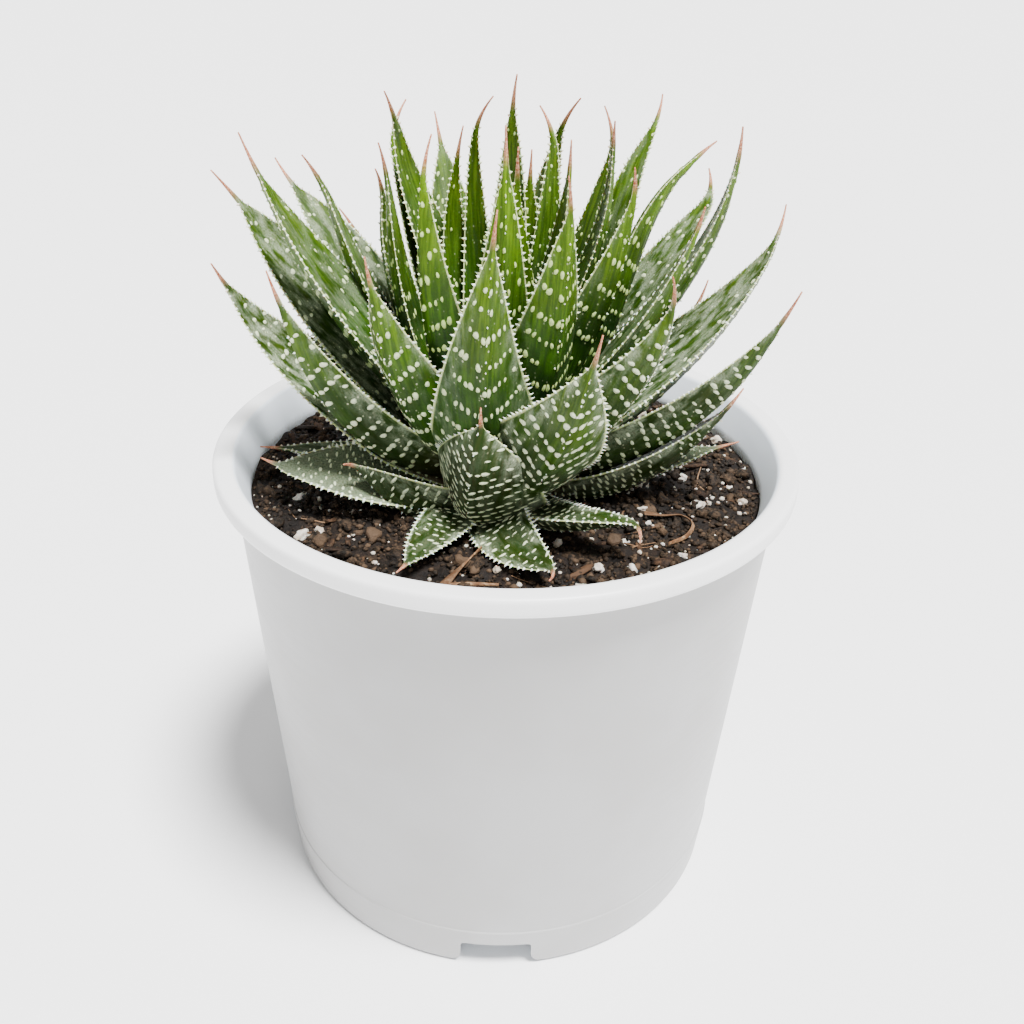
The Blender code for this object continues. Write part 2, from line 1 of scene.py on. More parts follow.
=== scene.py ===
# %% [markdown]
# # A potted lace aloe
# A lace aloe is a small rosette of thick pointed leaves. Each leaf has a soft white fringe of teeth, cream
# spots that stand out of its skin, and a dry thread of an awn at its tip. This notebook dresses the plain
# solids of such a plant. It grows fine leaves over the coarse ones, turns a rounder pot, fills it with
# loose soil, and sets up a quiet studio. The solids come first, because every piece is placed by them.

# %% Load the solids
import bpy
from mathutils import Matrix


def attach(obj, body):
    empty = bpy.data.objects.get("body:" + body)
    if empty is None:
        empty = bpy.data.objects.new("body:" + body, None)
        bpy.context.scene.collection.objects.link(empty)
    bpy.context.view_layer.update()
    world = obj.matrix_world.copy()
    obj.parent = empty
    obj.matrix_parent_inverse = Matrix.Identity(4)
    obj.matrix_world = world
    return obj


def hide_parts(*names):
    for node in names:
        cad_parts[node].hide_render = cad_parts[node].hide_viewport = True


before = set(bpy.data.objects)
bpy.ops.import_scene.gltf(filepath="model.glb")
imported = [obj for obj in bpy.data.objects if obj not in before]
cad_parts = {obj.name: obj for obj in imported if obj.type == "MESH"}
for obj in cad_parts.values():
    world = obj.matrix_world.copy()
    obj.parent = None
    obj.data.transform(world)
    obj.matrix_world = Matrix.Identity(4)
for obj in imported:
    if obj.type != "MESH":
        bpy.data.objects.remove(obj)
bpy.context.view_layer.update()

# %% [markdown]
# ## Tools and units
# The library measures in metres, but leaves and pots are easier to think of in millimetres. So the sizes of
# the plant and the pot are in millimetres, and are turned into metres in the few places where a mesh or a
# material needs them. Only the floor and the camera are given in metres. Arrays do the sums for thousands
# of points at once, where a loop over single points would be slow.

# %% Tools
import math
import random

import bmesh
import bpy
import numpy as np
from mathutils import Vector, noise
from mathutils.bvhtree import BVHTree

MM = 0.001
BODY = "root"


def in_scene(name, data):
    """An object that shows this mesh, lamp or camera, put in the scene."""
    obj = bpy.data.objects.new(name, data)
    bpy.context.scene.collection.objects.link(obj)
    return obj


print("sizes in units of", MM, "m, all riding on", BODY)

# %% [markdown]
# ## The measures of the plant
# One leaf is one row of ten numbers: where it points, how far and how high its tip is from the crown, how
# steeply it leaves the stem and how steeply it ends, its width, its roll, its sideways swing, how late it
# tapers, and how far its awn hooks sideways. Lengths are millimetres and angles are degrees. The rows are
# the same as in the solids, so a fine leaf lies in its coarse one. A list of rows is easier to read and to
# change than fifty sculpted meshes. They run from the oldest leaf, outside, to the youngest. The stem's
# profile is a list of radii and of heights above the soil.

# %% Rows of the leaves
SOIL_LEVEL = 103.0
CROWN = np.array((-3.0, -8.0, SOIL_LEVEL))
STEM_PROFILE = ((0.0, 21.0), (2.2, 20.4), (3.4, 18.0), (5.0, 12.0), (6.6, 5.0), (7.0, 0.0), (6.0, -18.0))
LEAVES = (
    (356, 53, 13, -8, 20, 14, 10, 0, 2.0, 0),
    (318, 46, 7, -10, -20, 11, 0, -9, 2.4, -8),
    (290, 47, 4, 0, 10, 13, 30, -6, 2.6, -5),
    (248, 46, 3, 0, 10, 12, 0, 0, 2.4, 0),
    (177, 52, 6, 5, 0, 12, -5, 0, 2.0, 0),
    (192, 50, 8, 0, -5, 21, -15, 4, 2.2, -4),
    (205, 35, 13, -10, 25, 20, 20, 6, 2.0, 4),
    (266, 29, 31, 5, 85, 25, -20, 0, 2.8, 0),
    (350, 52, 26, -5, 50, 17, -10, 0, 1.8, 4),
    (155, 50, 28, 5, 50, 16, 0, 0, 1.7, 0),
    (45, 48, 28, 5, 55, 16, 0, 0, 1.7, 0),
    (130, 50, 36, 10, 60, 16, 0, 0, 1.7, 0),
    (70, 52, 34, 10, 60, 16, 0, 0, 1.7, 0),
    (100, 50, 38, 10, 65, 16, 0, 0, 1.7, 0),
    (343, 60, 51, 15, 70, 16, -25, 4, 2.2, 0),
    (20, 49, 42, 20, 75, 11, 0, 0, 1.6, 0),
    (192, 55, 53, 25, 75, 23, -40, -5, 1.2, 4),
    (326, 41, 56, 35, 90, 23, -30, -3, 1.2, -4),
    (297, 42, 49, 25, 85, 24, -30, -2, 1.9, 0),
    (204, 46, 53, 20, 75, 16, 20, 0, 2.2, 0),
    (5, 60, 60, 35, 60, 22, 10, -6, 1.5, 6),
    (174, 56, 66, 40, 65, 21, -30, -4, 2.2, 3),
    (152, 57, 63, 35, 30, 19, -25, 0, 2.0, -3),
    (28, 57, 62, 40, 30, 17, 10, -5, 1.7, 8),
    (115, 43, 56, 25, 70, 16, 0, 0, 1.7, 0),
    (85, 42, 55, 30, 75, 16, 0, 0, 1.7, 0),
    (352, 45, 79, 45, 95, 13, 0, 5, 1.4, -5),
    (223, 32, 57, 40, 80, 18, 20, 0, 1.6, 0),
    (271, 26, 67, 32, 90, 22, 5, -2, 1.3, 0),
    (343, 41, 66, 45, 75, 14, 10, 0, 1.4, -5),
    (181, 49, 74, 48, 70, 18, -15, 0, 1.9, 0),
    (143, 42, 54, 35, 60, 17, -10, 0, 1.7, 2),
    (173, 37, 70, 42, 75, 11, 0, -4, 1.6, 5),
    (41, 50, 77, 40, 25, 16, 0, -4, 1.4, 4),
    (109, 46, 71, 48, 50, 17, -5, 0, 2.0, 0),
    (61, 27, 78, 58, 110, 14, -5, 4, 1.4, -4),
    (152, 25, 66, 48, 110, 11, 5, 0, 1.5, 5),
    (130, 39, 75, 52, 50, 9, 10, 3, 1.4, -6),
    (341, 28, 72, 62, 85, 18, -10, 0, 1.4, -5),
    (305, 25, 72, 55, 80, 20, -5, 0, 1.2, -2),
    (144, 25, 80, 72, 120, 14, 0, -5, 1.7, 4),
    (8, 45, 72, 40, 10, 13, -15, -3, 2.0, 6),
    (39, 33, 76, 60, 75, 11, -5, 0, 1.4, 6),
    (166, 23, 72, 48, 85, 11, 0, 0, 1.6, 3),
    (67, 31, 75, 58, 45, 9, 0, -4, 1.5, 4),
    (17, 22, 77, 65, 110, 9, -5, 2, 1.5, -4),
    (114, 18, 73, 57, 105, 9, 5, 2, 1.5, 0),
    (71, 21, 68, 62, 85, 12, 10, 0, 1.7, 0),
    (224, 18, 77, 60, 105, 16, 0, 3, 1.4, 2),
    (106, 15, 79, 64, 120, 9, 10, 0, 1.2, -3),
    (276, 15, 79, 66, 100, 14, 0, 0, 1.4, 0),
    (76, 10, 84, 75, 115, 11, 0, 1, 1.5, -1),
    (322, 5, 73, 72, 80, 11, 0, 2, 1.6, 0),
    (19, 15, 73, 72, 90, 12, 0, 0, 1.6, 0),
)
YOUNG_LEAVES = (
    (300, 4, 69, 80, 80, 8, 0, 0, 1.6, 0),
    (200, 4, 46, 78, 90, 8, 0, 0, 1.7, 0),
    (20, 4, 40, 78, 90, 7, 0, 0, 1.7, 0),
    (120, 3, 33, 80, 90, 6, 0, 0, 1.7, 0),
)
print("leaves", len(LEAVES), "and young ones", len(YOUNG_LEAVES))

# %% [markdown]
# ## Small helpers
# A mesh of many like things is quickest to make as one array of points and one list of faces. Each point
# also carries numbers that the materials read. "place" is where it is on the leaf, across and along in
# millimetres, and then its face: 0 below, 1 above, and 2 above on a leaf that has gone silvery. "share" is
# how far along it is, how far in from the edge, and how old the leaf is. "mark" is 1 in the middle of a
# spot and 0 off it. They stay with the mesh when it bends, where a projected texture would slide.

# %% A heap of points and faces
class Heap:
    """Collects points, faces, material numbers and what the materials read, then makes one object of them."""

    def __init__(self):
        self.points = []
        self.faces = []
        self.slots = []
        self.place = []
        self.share = []
        self.mark = []
        self.count = 0

    def add(self, points, faces, slot=0, place=(0, 0, 0), share=(0, 0, 0), mark=0.0):
        size = len(points)
        self.points.append(np.asarray(points, float))
        self.faces.extend([tuple(corner + self.count for corner in face) for face in faces])
        self.slots.extend([slot] * len(faces))
        self.place.append(np.broadcast_to(np.asarray(place, float), (size, 3)))
        self.share.append(np.broadcast_to(np.asarray(share, float), (size, 3)))
        self.mark.append(np.broadcast_to(np.asarray(mark, float), (size,)))
        self.count += size

    def make(self, name, materials):
        mesh = bpy.data.meshes.new(name)
        points = np.concatenate(self.points) * MM
        mesh.from_pydata(points.tolist(), [], self.faces)
        mesh.polygons.foreach_set("material_index", self.slots)
        for title, rows in (("place", self.place), ("share", self.share)):
            layer = mesh.attributes.new(title, "FLOAT_VECTOR", "POINT")
            layer.data.foreach_set("vector", np.concatenate(rows).astype(np.float32).ravel())
        layer = mesh.attributes.new("mark", "FLOAT", "POINT")
        layer.data.foreach_set("value", np.concatenate(self.mark).astype(np.float32))
        for material in materials:
            mesh.materials.append(material)
        mesh.shade_smooth()
        mesh.update()
        return in_scene(name, mesh)

# %% Join a piece to the rest
def join_to_pot(piece, slot, *nodes):
    """Every piece rides on the one body and stands for the solids that it covers. The slot is not used."""
    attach(piece, BODY)
    if nodes:
        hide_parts(*nodes)

# %% Faces of a tube
def tube_faces(rings, around, caps=True):
    """Faces between rings of points that follow each other, closed at both ends."""
    faces = []
    for ring in range(rings - 1):
        for step in range(around):
            here = ring * around + step
            there = ring * around + (step + 1) % around
            faces.append((here, there, there + around, here + around))
    if caps:
        faces.append(tuple(range(around - 1, -1, -1)))
        faces.append(tuple(range((rings - 1) * around, rings * around)))
    return faces


print("a closed tube of two rings of three has", len(tube_faces(2, 3)), "faces")

# %% [markdown]
# ## Materials from nodes
# A leaf's skin is built up like paint: a green that varies, streaks along the leaf, a grey bloom on the old
# leaves, a brown foot, a pale rim and a dry red tip. Each layer is one mask and one colour mixed over what
# is there, so a short function that adds a layer keeps the whole recipe readable. A Mix node has one set of
# inputs for each kind of value, so the numbers of those for colour are named first.

# %% Node helpers
MIX_MASK, MIX_UNDER, MIX_OVER, MIX_COLOUR = 0, 6, 7, 2


class Recipe:
    """A Principled material whose colour is mixed up layer by layer."""

    def __init__(self, name, roughness, **constants):
        self.material = bpy.data.materials.new(name)
        self.material.use_nodes = True
        self.tree = self.material.node_tree
        self.shader = self.tree.nodes["Principled BSDF"]
        self.shader.inputs["Roughness"].default_value = roughness
        for socket, value in constants.items():
            self.shader.inputs[socket.replace("_", " ")].default_value = value

    def node(self, kind, *inputs, **settings):
        """Adds a node, sets its options, and fills its inputs with values or links."""
        made = self.tree.nodes.new(f"ShaderNode{kind}")
        for key, value in settings.items():
            setattr(made, key, value)
        for socket, value in zip(made.inputs, inputs):
            if isinstance(value, bpy.types.NodeSocket):
                self.tree.links.new(value, socket)
            elif value is not None:
                socket.default_value = value
        return made

    def attribute(self, name):
        """The three numbers of a triplet that the mesh carries."""
        source = self.node("Attribute", attribute_name=name)
        return self.node("SeparateXYZ", source.outputs["Vector"]).outputs

    def maths(self, operation, *values):
        return self.node("Math", *values, operation=operation).outputs[0]

    def stretched(self, x, y, z):
        """The leaf's own coordinates, stretched: large numbers give fine detail."""
        source = self.node("Attribute", attribute_name="place").outputs["Vector"]
        return self.node("VectorMath", source, (x, y, z), operation="MULTIPLY").outputs[0]

    def position(self, scale):
        """Coordinates in the object's own space, in units of one over the scale in millimetres."""
        source = self.node("TexCoord").outputs["Object"]
        return self.node("VectorMath", source, (scale / MM,) * 3, operation="MULTIPLY").outputs[0]

    def clouds(self, vector, detail=3.0, rough=0.55):
        """Soft noise from 0 to 1."""
        made = self.node("TexNoise", vector, None, 1.0, detail, rough)
        return made.outputs[0]

    def ramp(self, value, low, high, start=0.0, end=1.0):
        """Goes smoothly from start to end while the value goes from low to high."""
        made = self.node("MapRange", value, low, high, start, end, interpolation_type="SMOOTHSTEP")
        return made.outputs[0]

    def layer(self, under, colour, mask):
        """A colour over what is there, where the mask is 1."""
        made = self.tree.nodes.new("ShaderNodeMix")
        made.data_type = "RGBA"
        for number, value in ((MIX_MASK, mask), (MIX_UNDER, under), (MIX_OVER, colour)):
            socket = made.inputs[number]
            if isinstance(value, bpy.types.NodeSocket):
                self.tree.links.new(value, socket)
            else:
                socket.default_value = value if isinstance(value, float) else (*value, 1.0)
        return made.outputs[MIX_COLOUR]

    def finish(self, colour, height=None, depth=0.1, roughness=None):
        """Links the colour, the relief of this depth in millimetres, and a varying roughness."""
        self.tree.links.new(colour, self.shader.inputs["Base Color"])
        if height is not None:
            bump = self.node("Bump", 1.0, depth * MM)
            self.tree.links.new(height, bump.inputs["Height"])
            self.tree.links.new(bump.outputs[0], self.shader.inputs["Normal"])
        if roughness is not None:
            self.tree.links.new(roughness, self.shader.inputs["Roughness"])
        return self.material

# %% [markdown]
# ### The skin of a leaf
# The young leaves of the middle are deep green at the foot and bright towards the tip, with pale green
# spots. The old ones outside are olive and grey, with white spots and a waxy bloom that gathers along the
# edges and on the upper face, and they are brown where they meet the soil. Between the spots lies a fine
# stipple of paler dots. All of it is one recipe, driven by the age of the leaf, so neighbours differ a
# little and never look like two plants. A spot is a low bump with this same skin: its rim has the green of
# the leaf around it and its middle is pale, so it has the soft edge of a real one. Colours are linear red,
# green and blue.

# %% Colours of a leaf
DEEP_GREEN = (0.004, 0.022, 0.000)
FRESH_GREEN = (0.032, 0.100, 0.000)
BRIGHT_GREEN = (0.160, 0.290, 0.000)
OLIVE = (0.014, 0.017, 0.003)
GREY_GREEN = (0.020, 0.037, 0.004)
BLOOM_GREY = (0.380, 0.440, 0.300)
FOOT_BROWN = (0.080, 0.046, 0.022)
CREAM = (0.560, 0.720, 0.180)
SPOT_WHITE = (0.740, 0.780, 0.500)
RIM_CREAM = (0.580, 0.660, 0.300)
AWN_RED = (0.300, 0.085, 0.040)
AWN_PALE = (0.560, 0.300, 0.190)
TOOTH_CREAM = (0.76, 0.84, 0.50)
TOOTH_WHITE = (0.90, 0.90, 0.76)
TOOTH_SHADE = (0.62, 0.66, 0.48)
TOOTH_WARM = (0.66, 0.46, 0.34)
print("the brightest green of a leaf", BRIGHT_GREEN, "and the deepest", DEEP_GREEN)

# %% The green of a leaf
def leaf_green(mix, along, age, face):
    """The green under everything: young leaves are deep to fresh, old ones olive to grey."""
    patches = mix.clouds(mix.position(0.09), 2.0)
    streaks = mix.clouds(mix.stretched(1.5, 0.09, 1.0), 4.0, 0.6)
    young = mix.layer(DEEP_GREEN, FRESH_GREEN, mix.ramp(patches, 0.34, 0.66))
    young = mix.layer(young, BRIGHT_GREEN, mix.ramp(along, 0.40, 0.90, 0.0, 0.60))
    young = mix.layer(young, DEEP_GREEN, mix.ramp(along, 0.55, 0.10, 0.0, 0.80))
    old = mix.layer(OLIVE, GREY_GREEN, mix.ramp(patches, 0.36, 0.66))
    colour = mix.layer(young, old, mix.ramp(age, 0.30, 0.95))
    colour = mix.layer(colour, GREY_GREEN, mix.maths("MULTIPLY", mix.ramp(face, 0.4, 0.6), 0.35))
    return mix.layer(colour, DEEP_GREEN, mix.ramp(streaks, 0.64, 0.40, 0.0, 0.65)), streaks

# %% The grey bloom of a leaf
def leaf_bloom(mix, inward, age, face, dust, grain):
    """How thick the wax is: along the edges, on the upper face in middle age, and all over a silvery face."""
    edge = mix.ramp(inward, 0.55, 0.0, 0.10, 0.85)
    grown = mix.ramp(age, 0.25, 0.6, 0.30, 0.95)
    not_old = mix.ramp(age, 0.90, 0.72, 0.15, 1.0)
    above = mix.maths("MULTIPLY", mix.ramp(face, 0.4, 0.6), mix.maths("MULTIPLY", grown, not_old))
    bloom = mix.maths("MULTIPLY", mix.maths("MAXIMUM", edge, above), mix.ramp(dust, 0.38, 0.66))
    bloom = mix.maths("MULTIPLY", bloom, mix.ramp(age, 0.1, 0.9, 0.06, 0.90))
    bloom = mix.maths("MULTIPLY", bloom, mix.ramp(grain, 0.32, 0.60, 0.35, 1.0))
    silver = mix.maths("MULTIPLY", mix.ramp(face, 1.4, 1.6), mix.ramp(grain, 0.30, 0.65, 0.08, 0.42))
    return mix.maths("MAXIMUM", bloom, silver)

# %% The skin of a leaf, layer over layer
def leaf_skin():
    mix = Recipe("leaf_skin", 0.42, Subsurface_Weight=0.08, Subsurface_Scale=0.002, Specular_IOR_Level=0.12)
    along, inward, age = mix.attribute("share")
    _, _, face = mix.attribute("place")
    mark = mix.node("Attribute", attribute_name="mark").outputs["Fac"]
    grain = mix.clouds(mix.stretched(3.2, 2.4, 2.0), 4.0, 0.65)
    dust = mix.clouds(mix.stretched(0.55, 0.16, 1.0), 3.0, 0.6)
    colour, streaks = leaf_green(mix, along, age, face)
    colour = mix.layer(colour, BLOOM_GREY, leaf_bloom(mix, inward, age, face, dust, grain))
    dots = mix.node("TexVoronoi", mix.stretched(1.05, 0.75, 1.0), None, 1.0).outputs[0]
    stipple = mix.maths("MULTIPLY", mix.ramp(dots, 0.22, 0.08), mix.ramp(dust, 0.45, 0.58, 0.05, 0.70))
    colour = mix.layer(colour, SPOT_WHITE, mix.maths("MULTIPLY", stipple, mix.ramp(age, 0.0, 0.6, 0.20, 0.8)))
    foot = mix.maths("MULTIPLY", mix.ramp(along, 0.30, 0.04), mix.ramp(age, 0.35, 0.9))
    colour = mix.layer(colour, FOOT_BROWN, foot)
    spot = mix.layer(CREAM, SPOT_WHITE, mix.ramp(age, 0.15, 0.70))
    spot = mix.layer(spot, BLOOM_GREY, mix.ramp(grain, 0.60, 0.40, 0.0, 0.5))
    colour = mix.layer(colour, spot, mix.ramp(mark, 0.05, 1.0, 0.0, 0.94))
    colour = mix.layer(colour, RIM_CREAM, mix.ramp(inward, 0.04, 0.0, 0.0, 0.9))
    awn = mix.layer(AWN_PALE, AWN_RED, mix.ramp(grain, 0.38, 0.62))
    colour = mix.layer(colour, awn, mix.ramp(along, 0.885, 0.945))
    relief = mix.maths("ADD", mix.maths("MULTIPLY", streaks, 0.5), mix.maths("MULTIPLY", grain, 0.6))
    return mix.finish(colour, relief, 0.10, mix.ramp(grain, 0.3, 0.7, 0.36, 0.58))

# %% The wax of the teeth
def tooth_wax():
    """The teeth are a white, slightly clear gristle, with a warmer end near the tip of the leaf."""
    mix = Recipe("tooth_wax", 0.5, Subsurface_Weight=0.25, Subsurface_Scale=0.001, Specular_IOR_Level=0.2)
    along, _, age = mix.attribute("share")
    cloud = mix.clouds(mix.position(0.7), 2.0)
    colour = mix.layer(TOOTH_CREAM, TOOTH_WHITE, mix.ramp(age, 0.05, 0.6))
    colour = mix.layer(colour, TOOTH_SHADE, mix.ramp(cloud, 0.55, 0.70, 0.0, 0.7))
    colour = mix.layer(colour, TOOTH_WARM, mix.ramp(along, 0.80, 0.90, 0.0, 0.6))
    return mix.finish(colour, cloud, 0.03)


LEAF_MATERIALS = (leaf_skin(), tooth_wax())
LEAF_SKIN, TOOTH_WAX = 0, 1
print("leaf materials", [material.name for material in LEAF_MATERIALS])

# %% [markdown]
# ## The course of a leaf
# A leaf leaves the stem at one slope and ends at another, and the curve between is a cubic, the same curve
# that a pen tool draws. A flat leaf starts low on the stem and a steep one high. A slow wave and a slight
# twist, drawn at random but from a seed, stop the leaves from looking stamped.

# %% The curve of a leaf
CURVE_POINTS = 400
FLATTEST, STEEPEST = 5, 80
ROOT_LOWEST, ROOT_SPAN, ROOT_SUNK = 2.5, 13.0, 1.5
PULL_AT_ROOT, PULL_AT_TIP = 0.38, 0.33
HOOK_START = 0.84
WAVE = 0.3


def stem_radius(height):
    heights = [row[1] for row in STEM_PROFILE][::-1]
    radii = [row[0] for row in STEM_PROFILE][::-1]
    return float(np.interp(height, heights, radii))


def slope(degrees):
    return np.array((math.cos(math.radians(degrees)), math.sin(math.radians(degrees))))


def unit(rows):
    return rows / np.linalg.norm(rows, axis=-1, keepdims=True)


def leaf_curve(leaf, draw):
    """Many points along the leaf, and its sideways direction."""
    azimuth, reach, rise, start, end, _, _, swing, _, hook = leaf
    steep = min(max((start - FLATTEST) / (STEEPEST - FLATTEST), 0), 1)
    root_height = ROOT_LOWEST + ROOT_SPAN * steep
    root = np.array((max(stem_radius(root_height) - ROOT_SUNK, 1.0), root_height))
    tip = np.array((reach, rise), float)
    chord = np.linalg.norm(tip - root)
    near = root + slope(start) * PULL_AT_ROOT * chord
    far = tip - slope(end) * PULL_AT_TIP * chord
    t = np.linspace(0, 1, CURVE_POINTS)[:, None]
    flat = root * (1 - t) ** 3 + near * 3 * t * (1 - t) ** 2 + far * 3 * t**2 * (1 - t) + tip * t**3
    out = np.append(slope(azimuth), 0.0)
    side = np.array((-out[1], out[0], 0.0))
    wave = WAVE * np.sin(t * draw.uniform(4, 7) + draw.uniform(0, 6)) * np.sin(t * math.pi)
    hooked = hook * np.clip((t - HOOK_START) / (1 - HOOK_START), 0, 1) ** 2
    upright = flat[:, :1] * out + flat[:, 1:] * np.array((0, 0, 1.0))
    return CROWN + upright + (swing * 4 * t * (1 - t) + hooked + wave) * side, side


print("radius of the stem at the soil", stem_radius(0.0), "mm")

# %% [markdown]
# ## The body of a leaf
# The cross-section is nearly flat above, with a shallow channel, and round below. Towards the tip the round
# belly sharpens into a keel, and the awn at the end is a round thread. A loft of such sections, one every
# millimetre, gives the whole body, where a subdivided box would need its keel and channel pushed in by
# hand. The tangent of the curve gives the leaf its own directions, forward, across and up, and the same
# formula says where any spot or tooth on the surface lies, so nothing has to be projected later.

# %% Shares and sizes of a section
RING_STEP = 1.05
TWIST, TWIST_TURNS = 3, 3
FULL_WIDTH_AT = 0.25
BLADE_FOOT = 0.80
AWN_START = 0.88
AWN_WIDTH = 1.25
AWN_TIP_WIDTH = 0.30
AWN_THINNING = 1.5
AWN_THICKNESS = 0.75
AWN_ROOF = 0.35
ROUNDS_BEFORE_AWN, ROUNDS_OVER = 0.05, 0.08
BLADE_THICKNESS = 0.36
BLADE_CUP = 0.10
CHANNEL = 0.03
BELLY_DEPTH = 0.88
BELLY_POWER, KEEL_SHARPENS, AWN_SOFTENS = 2.1, 0.85, 0.8
KEEL_FROM, KEEL_OVER = 0.10, 0.40
print("the awn is the last", round(100 * (1 - AWN_START)), "hundredths of a leaf")

# %% The surface of a leaf
class Blade:
    """A leaf's frame along its length, and the points of its two faces."""

    def __init__(self, leaf, draw):
        curve, side = leaf_curve(leaf, draw)
        lengths = np.append(0.0, np.cumsum(np.linalg.norm(np.diff(curve, axis=0), axis=1)))
        self.length = lengths[-1]
        self.rings = int(self.length / RING_STEP)
        self.shares = np.linspace(0, 1, self.rings)
        at = self.shares * self.length
        self.course = np.stack([np.interp(at, lengths, curve[:, axis]) for axis in range(3)], -1)
        self.forward = unit(np.gradient(self.course, axis=0))
        level = unit(side - self.forward * (self.forward @ side)[:, None])
        upright = np.cross(self.forward, level)
        twist = draw.uniform(-TWIST, TWIST) * np.sin(self.shares * TWIST_TURNS)
        turn = np.radians(leaf[6] + twist)[:, None]
        self.across = level * np.cos(turn) + upright * np.sin(turn)
        self.up = np.cross(self.forward, self.across)
        self.widths = self.width(self.shares, leaf[5], leaf[8])

    def width(self, shares, widest, power):
        """Full after a quarter, then an arched taper to the awn."""
        swelling = np.sin(np.clip(shares / FULL_WIDTH_AT, 0, 1) * math.pi / 2)
        foot = widest * (BLADE_FOOT + (1 - BLADE_FOOT) * swelling)
        taper = np.clip((shares - FULL_WIDTH_AT) / (AWN_START - FULL_WIDTH_AT), 0, 1) ** power
        to_tip = np.clip((1 - shares) / (1 - AWN_START), 0, 1)
        awn = AWN_TIP_WIDTH + (AWN_WIDTH - AWN_TIP_WIDTH) * to_tip**AWN_THINNING
        return np.where(shares > AWN_START, awn, foot + (AWN_WIDTH - foot) * taper)

    def height(self, width, share, across, above):
        """Height of the upper or lower face at places from -1 to 1 across."""
        into_awn = np.clip((share - AWN_START + ROUNDS_BEFORE_AWN) / ROUNDS_OVER, 0, 1)
        if above:
            roof = AWN_ROOF * into_awn * (1 - across**2)
            return width * (CHANNEL + (BLADE_CUP - CHANNEL) * across**2 + roof)
        thick = width * (BLADE_THICKNESS + (AWN_THICKNESS - BLADE_THICKNESS) * into_awn) * BELLY_DEPTH
        sharper = KEEL_SHARPENS * np.clip((share - KEEL_FROM) / KEEL_OVER, 0, 1)
        keel = BELLY_POWER - sharper + AWN_SOFTENS * into_awn
        return BLADE_CUP * width - (BLADE_CUP * width + thick) * (1 - np.abs(across) ** keel)

    def ring_at(self, place):
        """The number of the ring just before a place in millimetres along."""
        return min(int(place / self.length * (self.rings - 1)), self.rings - 1)

    def point(self, along, across, above=False, lift=0.0):
        """Points on a face, for places in millimetres along and from -1 to 1 across."""
        place = np.clip(np.asarray(along) / self.length, 0, 1) * (self.rings - 1)
        index = np.minimum(place.astype(int), self.rings - 2)
        part = (place - index)[..., None]

        def mixed(rows):
            return rows[index] * (1 - part) + rows[index + 1] * part

        width = mixed(self.widths[:, None])[..., 0]
        height = self.height(width, place / (self.rings - 1), across, above)
        height = height + (lift if above else -lift)
        sideways = mixed(self.across) * (across * width / 2)[..., None]
        return mixed(self.course) + sideways + mixed(self.up) * height[..., None]


sample = Blade(LEAVES[0], random.Random(1))
print("the first leaf is", round(sample.length, 1), "mm long, in", sample.rings, "rings")

# %% The loft
UPPER_POINTS = 9
LOWER_POINTS = 13
MARGIN_ROUND = 0.16
MARGIN_FULL_AT = 4
LEAF_APART = 37.0
BELOW, MARGIN, ABOVE, SILVERY = 0.0, 0.5, 1.0, 2.0


def add_body(heap, blade, seed, age, silvery):
    """The loft: the upper face from one edge to the other, then the lower one back."""
    upper = np.cos(np.linspace(0.0, math.pi, UPPER_POINTS))
    lower = np.cos(np.linspace(math.pi, 0.0, LOWER_POINTS))
    half = blade.widths[:, None] / 2
    shares = blade.shares[:, None]
    rounding = MARGIN_ROUND * np.clip(blade.widths / MARGIN_FULL_AT, 0.1, 1)[:, None]
    above = blade.height(blade.widths[:, None], shares, upper[None, :], True) + rounding * 0.5
    below = blade.height(blade.widths[:, None], shares, lower[None, :], False) - rounding * 0.5
    edge = BLADE_CUP * blade.widths[:, None]
    sideways = np.concatenate([upper * half, -half - rounding, lower * half, half + rounding], 1)
    heights = np.concatenate([above, edge, below, edge], 1)
    points = (
        blade.course[:, None]
        + sideways[..., None] * blade.across[:, None]
        + heights[..., None] * blade.up[:, None]
    )
    face = np.full(UPPER_POINTS, SILVERY if silvery else ABOVE)
    faces = np.concatenate([face, [MARGIN], np.full(LOWER_POINTS, BELOW), [MARGIN]])
    inward = np.concatenate([1 - np.abs(upper), [0.0], 1 - np.abs(lower), [0.0]])
    shape = sideways.shape
    along = np.broadcast_to(shares, shape)
    place = np.stack([sideways + seed * LEAF_APART, along * blade.length, np.broadcast_to(faces, shape)], -1)
    share = np.stack([along, np.broadcast_to(inward, shape), np.full(shape, age)], -1)
    around = shape[1]
    rows = tube_faces(blade.rings, around)
    heap.add(points.reshape(-1, 3), rows, LEAF_SKIN, place.reshape(-1, 3), share.reshape(-1, 3))


print("a section of a leaf has", UPPER_POINTS + LOWER_POINTS + 2, "points")

# %% [markdown]
# ## Teeth
# The fringe that gives the plant its name is a row of soft white teeth along both edges, one every
# millimetre or two, each leaning towards the tip, with a few smaller ones along the keel. They are too
# small to model by hand and too clear in the picture to leave out, so a rule walks along the edge and
# plants a little bent cone at each step. The steps and the sizes vary, and the teeth are longest in the
# middle of the leaf.

# %% One tooth
TOOTH_SIDES = 4
TOOTH_RINGS = ((-0.35, 1.15, 0.0), (0.45, 0.60, 0.12))
TOOTH_LEAN = 0.42
TOOTH_FLATNESS = 0.5


